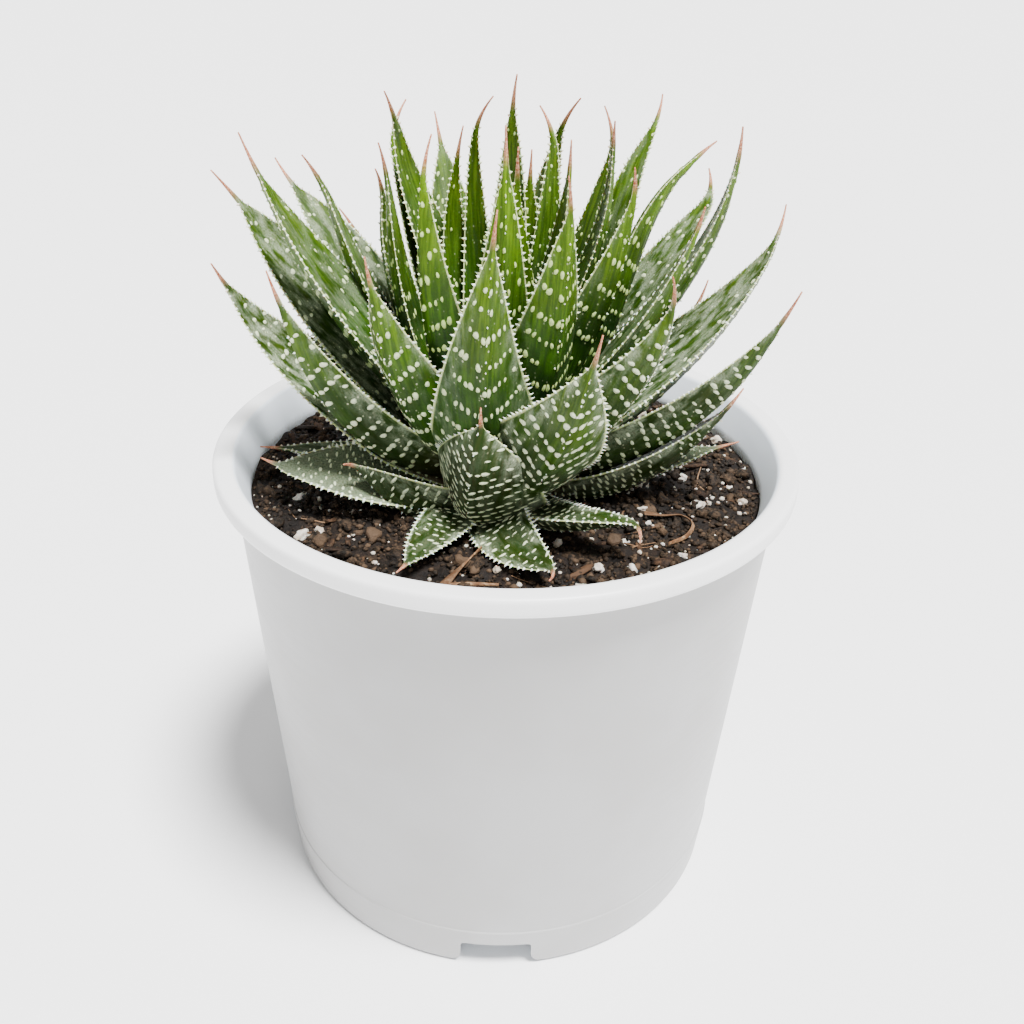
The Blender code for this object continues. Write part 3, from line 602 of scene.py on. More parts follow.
def add_tooth(heap, foot, outward, forward, length, girth, share):
    """A bent cone of two rings and a point, closed at its foot."""
    lift = np.cross(outward, forward)
    rows = []
    for reach, size, lean in TOOTH_RINGS:
        middle = foot + outward * reach * length + forward * lean * length
        for step in range(TOOTH_SIDES):
            angle = 2 * math.pi * step / TOOTH_SIDES
            flat = forward * math.cos(angle) + lift * math.sin(angle) * TOOTH_FLATNESS
            rows.append(middle + flat * size * girth)
    rows.append(foot + outward * length + forward * TOOTH_LEAN * length)
    faces = tube_faces(2, TOOTH_SIDES, caps=False)
    faces.append(tuple(range(TOOTH_SIDES - 1, -1, -1)))
    for step in range(TOOTH_SIDES):
        faces.append((TOOTH_SIDES + step, TOOTH_SIDES + (step + 1) % TOOTH_SIDES, 2 * TOOTH_SIDES))
    heap.add(rows, faces, TOOTH_WAX, share=share)


print("a tooth has", 2 * TOOTH_SIDES + 1, "points")

# %% The fringe
TOOTH_PITCH_OLD, TOOTH_PITCH_YOUNG = 1.30, 1.7
TOOTH_LENGTH = 0.85
TOOTH_GIRTH = 0.42
FRINGE_STARTS = (2.0, 4.0)
FRINGE_END = 0.90


def add_fringe(heap, blade, age, draw):
    """Teeth along both edges, from near the stem to the start of the awn."""
    pitch = TOOTH_PITCH_YOUNG + (TOOTH_PITCH_OLD - TOOTH_PITCH_YOUNG) * age
    for hand in (1, -1):
        place = draw.uniform(*FRINGE_STARTS)
        while place < blade.length * FRINGE_END:
            share = place / blade.length
            index = blade.ring_at(place)
            ease = 0.5 + 0.5 * math.sin(math.pi * min(share * 1.05, 1.0))
            foot = blade.point(np.array(place), np.array(float(hand)))
            outward = unit(blade.across[index] * hand + blade.up[index] * draw.uniform(-0.1, 0.25))
            size = TOOTH_LENGTH * ease * draw.uniform(0.70, 1.2)
            girth = TOOTH_GIRTH * (0.7 + 0.3 * ease)
            add_tooth(heap, foot, outward, blade.forward[index], size, girth, (share, 0, age))
            place += pitch * draw.uniform(0.75, 1.25)


print("teeth are", TOOTH_PITCH_OLD, "to", TOOTH_PITCH_YOUNG, "mm apart")

# %% Teeth along the keel
KEEL_TOOTH_LENGTHS = (0.3, 0.65)
KEEL_TOOTH_GIRTH = 0.36
KEEL_TOOTH_SUNK = 0.05
KEEL_TOOTH_PITCHES = (2.0, 3.6)
KEEL_STARTS, KEEL_END = (0.40, 0.50), 0.87


def add_keel_teeth(heap, blade, age, draw):
    place = blade.length * draw.uniform(*KEEL_STARTS)
    while place < blade.length * KEEL_END:
        index = blade.ring_at(place)
        foot = blade.point(np.array(place), np.array(0.0), lift=-KEEL_TOOTH_SUNK)
        size = draw.uniform(*KEEL_TOOTH_LENGTHS)
        share = (place / blade.length, 0, age)
        add_tooth(heap, foot, -blade.up[index], blade.forward[index], size, KEEL_TOOTH_GIRTH, share)
        place += draw.uniform(*KEEL_TOOTH_PITCHES)


print("teeth along the keel are up to", KEEL_TOOTH_LENGTHS[1], "mm long")

# %% [markdown]
# ## Spots
# The spots are raised and stand in rows across the leaf that dip towards the keel. On the youngest leaves
# the rows are about four millimetres apart, and closer at the foot, and the spots are narrow upright ovals,
# often touching. On the old ones the rows are closer and the spots are dashes that run along the row. The
# upper face has fewer of them. Painted spots would be quicker, but real ones catch the light, so each is a
# low bump that follows the skin. The lists below give their style at four ages, and a leaf's own is read
# between them.

# %% The style of the spots
AGES = (0.0, 0.45, 0.70, 0.87)
ROW_PITCHES = (4.4, 4.2, 2.8, 1.9)
SPOT_PITCHES = (1.18, 1.30, 1.75, 1.85)
HALF_LENGTHS = (0.92, 0.86, 0.64, 0.36)
HALF_WIDTHS = (0.44, 0.49, 0.78, 0.86)
ROW_SHARES = (0.70, 0.75, 0.75, 0.97)
for age, apart, long, wide in zip(AGES, ROW_PITCHES, HALF_LENGTHS, HALF_WIDTHS):
    print("at age", age, "rows are", apart, "mm apart and a spot is", 2 * long, "by", 2 * wide, "mm")

# %% One spot
SPOT_SIDES = 9
SPOT_HEIGHT, SPOT_SHOULDER, SPOT_SUNK = 0.16, 0.75, 0.06
SPOT_MIDDLE = 0.62
SPOT_TILT = 0.35
WIDEST_PLACE = 0.97
SPOT_CIRCLE = [2 * math.pi * step / SPOT_SIDES for step in range(SPOT_SIDES)]
SPOT_FACES = tube_faces(2, SPOT_SIDES, caps=False) + [tuple(range(SPOT_SIDES - 1, -1, -1))]
for step in range(SPOT_SIDES):
    SPOT_FACES.append((SPOT_SIDES + step, SPOT_SIDES + (step + 1) % SPOT_SIDES, 2 * SPOT_SIDES))


def add_spot(heap, blade, place, across, long, wide, above, seed, age, draw):
    """A low bump that lies on the curve of the leaf, uneven in outline, cream in the middle."""
    half = blade.widths[blade.ring_at(place)] / 2
    phase = draw.uniform(0, 6)
    tilt = draw.uniform(-SPOT_TILT, SPOT_TILT)
    steps = []
    sides = []
    for size in (1.0, SPOT_MIDDLE):
        for angle in SPOT_CIRCLE:
            bulge = size * (1 + 0.16 * math.sin(2 * angle + phase) + 0.08 * math.sin(3 * angle - phase))
            steps.append(place + math.cos(angle + tilt) * long * bulge)
            sides.append(math.sin(angle + tilt) * wide * bulge)
    steps = np.array(steps + [place])
    sides = np.array(sides + [0.0])
    widths = np.clip(across + sides / half, -WIDEST_PLACE, WIDEST_PLACE)
    heights = [-SPOT_SUNK] * SPOT_SIDES + [SPOT_SHOULDER * SPOT_HEIGHT] * SPOT_SIDES + [SPOT_HEIGHT]
    rows = blade.point(steps, widths, above, np.array(heights) + MARGIN_ROUND * 0.5)
    marks = np.array([0.0] * SPOT_SIDES + [0.9] * SPOT_SIDES + [1.0])
    where = np.stack([widths * half + seed * LEAF_APART, steps, np.full(len(steps), float(above))], -1)
    share = np.stack([steps / blade.length, 1 - np.abs(widths), np.full(len(steps), age)], -1)
    heap.add(rows, SPOT_FACES, LEAF_SKIN, where, share, marks)


print("a spot has", 2 * SPOT_SIDES + 1, "points and stands", SPOT_HEIGHT, "mm proud")

# %% Rows of spots
ROW_STARTS = (2.0, 5.0)
ROW_DIP = 2.4
ROWS_CLOSER, ROWS_WIDER, ROWS_EASE = 0.72, 0.36, 30.0
LAST_ROW = 0.86
FACE_REACH = 0.90
BELLY_BEND = 1.25


def add_spots(heap, blade, seed, age, draw, above, chance):
    """Rows of spots across one face."""
    pitch, apart, long, wide, least = (
        float(np.interp(age, AGES, row))
        for row in (ROW_PITCHES, SPOT_PITCHES, HALF_LENGTHS, HALF_WIDTHS, ROW_SHARES)
    )
    place = draw.uniform(*ROW_STARTS)
    while place < blade.length * LAST_ROW:
        half = blade.widths[blade.ring_at(place)] / 2
        bend = 1.0 if above else BELLY_BEND
        count = int(half * bend / apart + 0.5)
        slip = draw.uniform(-0.5, 0.5)
        full = draw.uniform(least, 1.0) * chance
        for step in range(-count, count + 1):
            if draw.random() > full:
                continue
            across = (step + slip + draw.uniform(-0.18, 0.18)) * apart / (half * bend)
            if abs(across) > FACE_REACH:
                continue
            along = place + ROW_DIP * (abs(across) ** 1.5 - 0.4) + draw.uniform(-0.22, 0.22)
            if not 1.5 < along < blade.length * LAST_ROW:
                continue
            size = draw.uniform(0.65, 1.15) * min(0.55 + half / 10, 1.0) * (0.7 + 0.3 * min(place / 14, 1))
            add_spot(heap, blade, along, across, long * size, wide * size, above, seed, age, draw)
        closing = ROWS_CLOSER + ROWS_WIDER * min(place / ROWS_EASE, 1)
        place += pitch * closing * draw.uniform(0.8, 1.2)


print("rows dip by", ROW_DIP, "mm towards the keel and end at", LAST_ROW, "of the leaf")

# %% [markdown]
# ## Grow the plant
# Every leaf is grown by the same steps from its own row, its own seed and its age, which falls from 1 at
# the outside to 0 in the heart. One mesh for each leaf keeps the plant easy to pull apart. Two of the low
# leaves have gone silvery above, and the lowest ones show spots on both faces.

# %% A whole leaf
SILVERY_LEAVES = (1, 6)
LOW_LEAF_AGE = 0.88
CHANCE_BELOW, CHANCE_ABOVE, CHANCE_ABOVE_LOW = 0.95, 0.40, 0.85


def grow_leaf(name, leaf, seed, age):
    """The body, its fringe, its keel teeth and its spots, in one mesh."""
    draw = random.Random(seed)
    blade = Blade(leaf, draw)
    heap = Heap()
    add_body(heap, blade, seed, age, seed in SILVERY_LEAVES)
    add_fringe(heap, blade, age, draw)
    add_keel_teeth(heap, blade, age, draw)
    chance_above = CHANCE_ABOVE_LOW if age > LOW_LEAF_AGE else CHANCE_ABOVE
    add_spots(heap, blade, seed, age, draw, above=False, chance=CHANCE_BELOW)
    add_spots(heap, blade, seed, age, draw, above=True, chance=chance_above)
    return heap.make(name, LEAF_MATERIALS)


print("silvery leaves", SILVERY_LEAVES, "and low leaves are older than", LOW_LEAF_AGE)

# %% Grow every leaf
YOUNG_SEED = 100
leaf_pieces = []
for number, leaf in enumerate(LEAVES, 1):
    piece = grow_leaf(f"lace_leaf_{number:02d}", leaf, number, age=1.0 - (number - 1) / len(LEAVES))
    join_to_pot(piece, "leaf_green", f"leaf_{number:02d}")
    leaf_pieces.append(piece)
for number, leaf in enumerate(YOUNG_LEAVES, 1):
    piece = grow_leaf(f"young_leaf_{number}", leaf, YOUNG_SEED + number, age=0.0)
    join_to_pot(piece, "leaf_green", "heart")
    leaf_pieces.append(piece)
print("leaf faces", sum(len(piece.data.polygons) for piece in leaf_pieces))

# %% [markdown]
# ## Turned pieces
# The pot and the stem are round, so each is a profile turned about an axis, as on a lathe. The solid pot
# has thirty-six sides to keep it light. This one has many more, and corners that are rounded over, because
# a sharp corner on plastic looks drawn. The same closed skin over rings of points also makes the cutters
# further down.

# %% Circles and closed skins
def circle(radius, height, steps, centre=(0.0, 0.0)):
    """Points of a level circle, in millimetres."""
    angles = [2 * math.pi * step / steps for step in range(steps)]
    return [(centre[0] + radius * math.cos(a), centre[1] + radius * math.sin(a), height) for a in angles]


def closed_mesh(name, rows, around):
    """A closed skin over rings of points that follow each other, with its faces turned outwards."""
    shape = bmesh.new()
    verts = [shape.verts.new(Vector(row) * MM) for row in rows]
    for face in tube_faces(len(rows) // around, around):
        shape.faces.new([verts[corner] for corner in face])
    bmesh.ops.recalc_face_normals(shape, faces=shape.faces)
    mesh = bpy.data.meshes.new(name)
    shape.to_mesh(mesh)
    shape.free()
    return mesh


print("half way round a circle of eight:", [round(v, 3) for v in circle(1.0, 0.0, 8)[4]])

# %% Turn and round a profile
LONGEST_CUT = 0.45


def turned(name, profile, steps, centre=(0.0, 0.0)):
    """A profile of (radius, height) in millimetres, turned about an upright axis."""
    rows = [point for radius, height in profile for point in circle(radius, height, steps, centre)]
    mesh = closed_mesh(name, rows, steps)
    mesh.shade_smooth()
    return in_scene(name, mesh)


def rounded(corners, radius, bend=5):
    """The polyline with an arc in place of each inner corner."""
    rows = [corners[0]]
    for before, corner, after in zip(corners, corners[1:], corners[2:]):
        b, c, a = (np.array(point, float) for point in (before, corner, after))
        back = np.linalg.norm(b - c)
        ahead = np.linalg.norm(a - c)
        cut = min(radius, back * LONGEST_CUT, ahead * LONGEST_CUT)
        first = c + (b - c) / back * cut
        last = c + (a - c) / ahead * cut
        for step in range(bend + 1):
            t = step / bend
            rows.append(tuple(first * (1 - t) ** 2 + c * 2 * t * (1 - t) + last * t**2))
    return rows + [corners[-1]]


print("a rounded corner has", len(rounded([(0, 0), (9, 0), (9, 9)], 1.2)) - 2, "points")

# %% [markdown]
# ## The pot
# A nursery pot is a tapered cup with a flat lip, a band round its foot, notches that let water out, and
# drain holes in its floor. Below the lip its inner face slopes in a little to the soil. That throat is only
# made here. The other sizes are those of the solid, so the turned pot fills the same room.

# %% Sizes of the pot
RIM_RADIUS = 65.0
POT_HEIGHT = 110.0
LIP_UNDER = 105.7
LIP_INNER_RADIUS = 60.6
THROAT_RADIUS = 57.4
THROAT_LOWEST = 90.0
WALL_TOP_RADIUS = 61.1
WALL_THICKNESS = 1.1
FOOT_RADIUS = 54.5
FOOT_BAND_HEIGHT = 11.5
FOOT_BAND_PROUD = 0.3
FOOT_RING_WIDTH = 3.4
FLOOR_UNDER = 8.6
FLOOR_TOP = 10.1
NOTCH_WIDTH = 16.4
NOTCH_HEIGHT = 7.4
NOTCH_FLARE = 2.2
NOTCH_COUNT = 4
DRAIN_RADIUS = 3.6
DRAIN_CIRCLE = 37.0
DRAIN_COUNT = 8
DRAIN_TURN = 22.5
SOIL_LINE = 101.5


def outer_wall_radius(height):
    return FOOT_RADIUS + (WALL_TOP_RADIUS - FOOT_RADIUS) * height / LIP_UNDER


def inner_wall_radius(height):
    return outer_wall_radius(height) - WALL_THICKNESS


def soil_edge_radius(height):
    """The inner face where the soil meets it: the throat of the pot slopes in a little below the lip."""
    return min(inner_wall_radius(height), THROAT_RADIUS)


print("the wall is", round(outer_wall_radius(POT_HEIGHT / 2), 1), "mm from the axis at half height")

# %% [markdown]
# ### The plastic of the pot
# Such pots are moulded in a cheap white plastic that is neither dull nor glossy. The lip is thick and keeps
# that white. The thin outer wall below it is painted grey, and that grey is painted shade: the wall is
# darkened as if the lip and the leaves shaded it. The inner face is painted a bright, cool white, which is
# painted light. Close up the wall is faintly wavy, fine scratches from stacking break up its gloss, and
# inside there is a brownish tide line from the soil and the water. The masks come from the height and from
# the depth under the outer face.

# %% Pot plastic
# Both greys of the outer wall are painted shade.
SHADED_WALL_GREY, SHADED_WALL_PALER = (0.38, 0.375, 0.37), (0.41, 0.41, 0.41)
LIP_WHITE = (0.90, 0.90, 0.90)
# The inner face's cool white is painted light.
INNER_PAINTED_LIGHT = (0.84, 0.90, 0.97)
TIDE_BROWN = (0.34, 0.28, 0.21)
SCRATCH_STRETCH = (60.0, 60.0, 1200.0)


def pot_plastic():
    mix = Recipe("pot_plastic", 0.38, IOR=1.47)
    spot = mix.node("TexCoord").outputs["Object"]
    x, y, height = mix.node("SeparateXYZ", spot).outputs
    radius = mix.maths("SQRT", mix.maths("ADD", mix.maths("MULTIPLY", x, x), mix.maths("MULTIPLY", y, y)))
    cloud = mix.clouds(mix.position(0.03), 3.0)
    grain = mix.clouds(mix.position(1.6), 2.0)
    band = mix.node("VectorMath", spot, SCRATCH_STRETCH, operation="MULTIPLY").outputs[0]
    scratch = mix.clouds(band, 3.0)
    # The outer wall: painted shade, in two greys mixed in clouds.
    shaded = mix.layer(SHADED_WALL_GREY, SHADED_WALL_PALER, mix.ramp(cloud, 0.35, 0.65))
    taper = (WALL_TOP_RADIUS - FOOT_RADIUS) / LIP_UNDER
    depth = mix.maths("SUBTRACT", mix.maths("MULTIPLY_ADD", height, taper, FOOT_RADIUS * MM), radius)
    inside = mix.ramp(depth, 0.35 * WALL_THICKNESS * MM, 0.75 * WALL_THICKNESS * MM)
    # The lip and the inner face keep the white, and the rest of the pot keeps the painted shade.
    thick = mix.maths("MAXIMUM", inside, mix.ramp(height, (LIP_UNDER - 0.6) * MM, (LIP_UNDER + 0.2) * MM))
    colour = mix.layer(shaded, LIP_WHITE, thick)
    # The inner face is painted light: a bright, cool white.
    colour = mix.layer(colour, INNER_PAINTED_LIGHT, inside)
    tide = mix.ramp(height, (SOIL_LINE + 2.5) * MM, (SOIL_LINE - 1.0) * MM)
    dirt = mix.maths("MULTIPLY", mix.maths("MULTIPLY", inside, tide), mix.ramp(grain, 0.45, 0.75, 0.0, 0.6))
    colour = mix.layer(colour, TIDE_BROWN, dirt)
    return mix.finish(colour, cloud, 0.25, mix.ramp(scratch, 0.3, 0.7, 0.34, 0.44))


# The wall's grey is painted shade, and the lip's white is the plastic's own.
print("the thin wall is", SHADED_WALL_GREY, "and the lip", LIP_WHITE)

# %% Profile of the pot
AXIS_GAP = 0.4
EDGE_ROUND = 1.2


def pot_profile():
    """From the middle of the floor up the inside, over the lip, down the outside and back under the floor."""
    band_top = FOOT_BAND_HEIGHT + FOOT_BAND_PROUD
    corners = [
        (AXIS_GAP, FLOOR_TOP),
        (inner_wall_radius(FLOOR_TOP), FLOOR_TOP),
        (inner_wall_radius(THROAT_LOWEST), THROAT_LOWEST),
        (THROAT_RADIUS, SOIL_LEVEL - 1.0),
        (LIP_INNER_RADIUS, POT_HEIGHT),
        (RIM_RADIUS, POT_HEIGHT),
        (RIM_RADIUS, LIP_UNDER),
        (outer_wall_radius(LIP_UNDER), LIP_UNDER),
        (outer_wall_radius(band_top), band_top),
        (outer_wall_radius(FOOT_BAND_HEIGHT) + FOOT_BAND_PROUD, FOOT_BAND_HEIGHT),
        (FOOT_RADIUS, 0.0),
        (FOOT_RADIUS - FOOT_RING_WIDTH, 0.0),
        (FOOT_RADIUS - FOOT_RING_WIDTH, FLOOR_UNDER),
        (AXIS_GAP, FLOOR_UNDER),
    ]
    return rounded(corners, EDGE_ROUND)


print("the pot's profile has", len(pot_profile()), "points")

# %% [markdown]
# ### Notches and drain holes
# The factory moulds these openings, but here it is easier to cut them. Each cutter is a closed prism, and
# one Boolean takes them all away at once, which leaves clean walls in every opening. The first notch faces
# front.

# %% Cutters
NOTCH_BEND = 3
FRONT = 270
DRAIN_STEPS = 32
DRAIN_PLUG_HALF = 2.5


def plug(name, rows, around, turn, out, height):
    """A closed prism between two rings, placed on a circle about the pot's axis."""
    obj = bpy.data.objects.new(name, closed_mesh(name, rows, around))
    obj.location = (out * math.cos(turn) * MM, out * math.sin(turn) * MM, height * MM)
    obj.rotation_euler = (0, 0, turn)
    return obj


def notch_cutter(index):
    """The outline of a notch with flared lower corners, drawn through the foot ring."""
    half = NOTCH_WIDTH / 2
    side = [(half + NOTCH_FLARE * 2, -NOTCH_FLARE), (half, NOTCH_FLARE), (half, NOTCH_HEIGHT)]
    outline = rounded(side + [(-across, height) for across, height in side[::-1]], EDGE_ROUND, NOTCH_BEND)
    reaches = (-FOOT_RING_WIDTH, FOOT_RING_WIDTH)
    rows = [(out, across, height) for out in reaches for across, height in outline]
    turn = math.radians(FRONT + 360 * index / NOTCH_COUNT)
    return plug(f"notch_{index}", rows, len(outline), turn, FOOT_RADIUS - FOOT_RING_WIDTH / 2, 0.0)


def drain_cutter(index):
    """A round plug through the floor: the first is in the middle and the others are on a circle."""
    rows = []
    for height in (-DRAIN_PLUG_HALF, DRAIN_PLUG_HALF):
        rows += circle(DRAIN_RADIUS, height, DRAIN_STEPS)
    turn = math.radians(DRAIN_TURN + 360 * index / DRAIN_COUNT)
    out = DRAIN_CIRCLE if index else 0.0
    return plug(f"drain_{index}", rows, DRAIN_STEPS, turn, out, (FLOOR_UNDER + FLOOR_TOP) / 2)


print("notches", NOTCH_COUNT, "and drain holes", DRAIN_COUNT + 1)

# %% Cut and finish the pot
POT_STEPS = 160
SHARP_ANGLE = 50


def cut_away(obj, cutters):
    """Subtracts all the cutters at once and applies the result."""
    group = bpy.data.collections.new("cutters")
    bpy.context.scene.collection.children.link(group)
    for other in cutters:
        group.objects.link(other)
    modifier = obj.modifiers.new("holes", "BOOLEAN")
    modifier.operand_type = "COLLECTION"
    modifier.collection = group
    modifier.solver = "MANIFOLD"
    bpy.context.view_layer.update()
    graph = bpy.context.evaluated_depsgraph_get()
    mesh = bpy.data.meshes.new_from_object(obj.evaluated_get(graph))
    obj.modifiers.clear()
    obj.data = mesh
    for other in cutters:
        bpy.data.objects.remove(other)
    bpy.data.collections.remove(group)


pot = turned("nursery_pot", pot_profile(), POT_STEPS)
holes = [notch_cutter(index) for index in range(NOTCH_COUNT)]
holes += [drain_cutter(index) for index in range(DRAIN_COUNT + 1)]
cut_away(pot, holes)
pot.data.materials.clear()
pot.data.materials.append(pot_plastic())
pot.data.set_sharp_from_angle(angle=math.radians(SHARP_ANGLE))
join_to_pot(pot, "pot_plastic", "pot")
print("pot faces", len(pot.data.polygons))

# %% [markdown]
# ## The stem
# The stem is a short stub hidden among the leaves, widest near the soil and narrow below it, and brown and
# scaly from the leaves that have died off it. It is turned like the pot, about an axis through the crown.

# %% Stem
STEM_DARK, STEM_PALE = (0.09, 0.055, 0.03), (0.22, 0.17, 0.09)


def stem_bark():
    mix = Recipe("stem_bark", 0.8)
    cloud = mix.clouds(mix.position(0.5), 4.0)
    colour = mix.layer(STEM_DARK, STEM_PALE, mix.ramp(cloud, 0.35, 0.7))
    return mix.finish(colour, cloud, 0.5)


stem_rows = [(max(radius, 0.4), SOIL_LEVEL + height) for radius, height in STEM_PROFILE]
stem = turned("stem", rounded(stem_rows, 1.0), 48, CROWN[:2])
stem.data.materials.append(stem_bark())
join_to_pot(stem, "leaf_green", "heart")
print("stem from", round(stem_rows[-1][1], 1), "to", round(stem_rows[0][1], 1), "mm")

# %% [markdown]
# ## Soil
# Potting mix is a dark bed with three kinds of thing in it: crumbs of peat and bark of every size, chips of
# bark that are flat and sharp-edged, and white grains of perlite. One displaced sheet can't show that,
# since crumbs overhang. So the bed is a displaced disc, and the rest are small loose pieces in five joined
# meshes, laid on it wherever no leaf lies. Where a low leaf touches the bed, the bed gives way.

# %% The height of the bed
SOIL_EDGE_DROP = 2.2
SOIL_CLUMP = 1.3
WIDE_CLUMPS, SMALL_CLUMPS = 9.0, 4.0


def wobble(x, y, z, scale):
    return noise.noise(Vector((x, y, z)) / scale)


def bed_height(x, y):
    """The low dome of the solid soil, in millimetres, with clumps and crumbs on it."""
    out = math.hypot(x, y) / soil_edge_radius(SOIL_LEVEL)
    clumps = wobble(x, y, 0.0, WIDE_CLUMPS) + 0.6 * wobble(x, y, 40.0, SMALL_CLUMPS)
    return SOIL_LEVEL - SOIL_EDGE_DROP * out**3 + SOIL_CLUMP * clumps


def crumb_height(x, y):
    """The same with crumbs of two sizes, about two millimetres wide and one."""
    return bed_height(x, y) + 0.9 * wobble(x, y, 9.0, 2.1) + 0.5 * abs(wobble(x, y, 3.0, 1.1)) - 0.3


print("the bed is", round(bed_height(0.0, 0.0), 1), "mm high in the middle of the pot")

# %% Keep clear of the low leaves
LOW_LEAF_RISE = 35
RAY_FROM, RAY_LENGTH = SOIL_LEVEL - 12.0, 30.0
LEAF_CLEARANCE = 0.35

low_points = []
low_faces = []
for piece, leaf in zip(leaf_pieces, LEAVES):
    if leaf[2] > LOW_LEAF_RISE:
        continue
    first = len(low_points)
    low_points.extend(vertex.co / MM for vertex in piece.data.vertices)
    low_faces.extend([corner + first for corner in face.vertices] for face in piece.data.polygons)
low_leaves = BVHTree.FromPolygons(low_points, low_faces)
print("low leaves hold", len(low_points), "points that the soil keeps clear of")


def under_leaf(x, y, height):
    """The height of the bed, pressed down where a leaf lies on it."""
    hit = low_leaves.ray_cast(Vector((x, y, RAY_FROM)), Vector((0, 0, 1)), RAY_LENGTH)[0]
    if hit is None:
        return height
    return min(height, hit.z - LEAF_CLEARANCE)

# %% [markdown]
# ### Earth
# All that is dug or dead is the same recipe in other tones: two browns in a fine grit, nearly black where
# it is damp, and a little shinier there. The last number of "share" is drawn for each loose piece, and
# makes some of them dry and pale, so that a heap of crumbs doesn't look cast in one block.

# %% Earth
def soil_earth(name, dark, light, roughness=0.92):
    """Earth of two tones, damp in places and paler on some of the loose pieces."""
    mix = Recipe(name, roughness, Specular_IOR_Level=0.2)
    _, _, tone = mix.attribute("share")
    cloud = mix.clouds(mix.position(0.12), 3.0)
    grit = mix.clouds(mix.position(0.9), 5.0, 0.7)
    colour = mix.layer(dark, light, mix.ramp(grit, 0.38, 0.72))
    colour = mix.layer(colour, tuple(value * 0.35 for value in dark), mix.ramp(cloud, 0.40, 0.62, 0.0, 0.7))
    colour = mix.layer(colour, light, mix.ramp(tone, 0.78, 1.0, 0.0, 0.9))
    return mix.finish(colour, grit, 0.5, mix.ramp(cloud, 0.35, 0.6, 0.9, 0.62))


BED_EARTH = ((0.005, 0.003, 0.002), (0.026, 0.016, 0.010))
print("the bed's tones are", BED_EARTH)

# %% The bed itself
BED_RINGS = 110
BED_STEPS = 240
BED_OVERLAP = 0.4
BED_SHOULDER = 92.0
BED_FOOT_RADIUS = 50.0


def make_bed():
    """A plug of soil: rings of the uneven top, then three rings that close it down to the pot's floor."""
    edge = soil_edge_radius(SOIL_LEVEL) + BED_OVERLAP
    bottom = FLOOR_TOP + 0.3
    foot = inner_wall_radius(bottom + 1) - 0.4
    heap = Heap()
    rows = []
    for ring in range(1, BED_RINGS + 1):
        radius = edge * ring / BED_RINGS
        for step in range(BED_STEPS):
            angle = 2 * math.pi * step / BED_STEPS
            x = radius * math.cos(angle)
            y = radius * math.sin(angle)
            rows.append((x, y, under_leaf(x, y, crumb_height(x, y))))
    for radius, height in ((edge, BED_SHOULDER), (foot, bottom + 1), (BED_FOOT_RADIUS, bottom)):
        rows += circle(radius, height, BED_STEPS)
    heap.add(rows, tube_faces(BED_RINGS + 3, BED_STEPS), share=(0, 0, 0.3))
    return heap.make("soil_bed", (soil_earth("soil_bed_earth", *BED_EARTH),))


bed = make_bed()
join_to_pot(bed, "soil", "soil")
print("bed faces", len(bed.data.polygons))

# %% [markdown]
# ### Crumbs, chips and perlite
# Each loose piece starts as a small faceted ball. Pushing its points in and out with noise and squashing it
# gives a crumb. Squashing it hard one way gives a chip, and a rounder one is perlite. Seeded draws say
# where each goes, and a test against the low leaves keeps them from poking through. Small pieces are far
# more common than large ones, so the draw of a size is raised to a power. The picture shows few large
# grains of perlite on the left, so "left" says what share of the pieces is kept there.

# %% One loose piece
def ball(subdivisions):
    """Points and faces of a small faceted ball of radius 1."""
    shape = bmesh.new()
    bmesh.ops.create_icosphere(shape, subdivisions=subdivisions, radius=1.0)
    points = np.array([vertex.co for vertex in shape.verts])
    faces = [tuple(vertex.index for vertex in face.verts) for face in shape.faces]
    shape.free()
    return points, faces


def turn_matrix(draw, most_tilt):
    """A random turn about the upright axis, then a tilt of up to most_tilt."""
    turn = draw.uniform(0, 2 * math.pi)
    tilt = draw.uniform(-most_tilt, most_tilt)
    c, s = math.cos(turn), math.sin(turn)
    spin = np.array(((c, -s, 0), (s, c, 0), (0, 0, 1)))
    c, s = math.cos(tilt), math.sin(tilt)
    return np.array(((1, 0, 0), (0, c, -s), (0, s, c))) @ spin


LUMP_NOISE = 1.7


def add_lump(heap, shape, place, size, squash, rough, draw, tilt):
    """One lump with noise on it, at a place on the bed."""
    points, faces = shape
    offset = draw.uniform(0, 500)
    shift = Vector((offset, 0, 0))
    push = np.array([1 + rough * noise.noise(Vector(point) * LUMP_NOISE + shift) for point in points])
    rows = (points * push[:, None] * np.array(squash) * size) @ turn_matrix(draw, tilt).T + np.array(place)
    heap.add(rows, faces, share=(0, 0, draw.random()))


print("a fine lump has", len(ball(1)[1]), "faces and a large grain", len(ball(3)[1]))

# %% A free place on the bed
SOIL_REACH = 57.2
PIECE_CLEARANCE = 0.4


def free_place(draw, size):
    """A place on the bed that a piece of this size can take, or None."""
    angle = draw.uniform(0, 2 * math.pi)
    out = (SOIL_REACH - size) * math.sqrt(draw.random())
    x = out * math.cos(angle)
    y = out * math.sin(angle)
    height = crumb_height(x, y)
    if under_leaf(x, y, height) < height:
        return None
    near = low_leaves.find_nearest(Vector((x, y, height)), size + PIECE_CLEARANCE)
    if near[0] is not None:
        return None
    return np.array((x, y, height))


print("pieces may lie up to", SOIL_REACH, "mm from the axis")

# %% Scatter many pieces
MOST_TRIES = 3


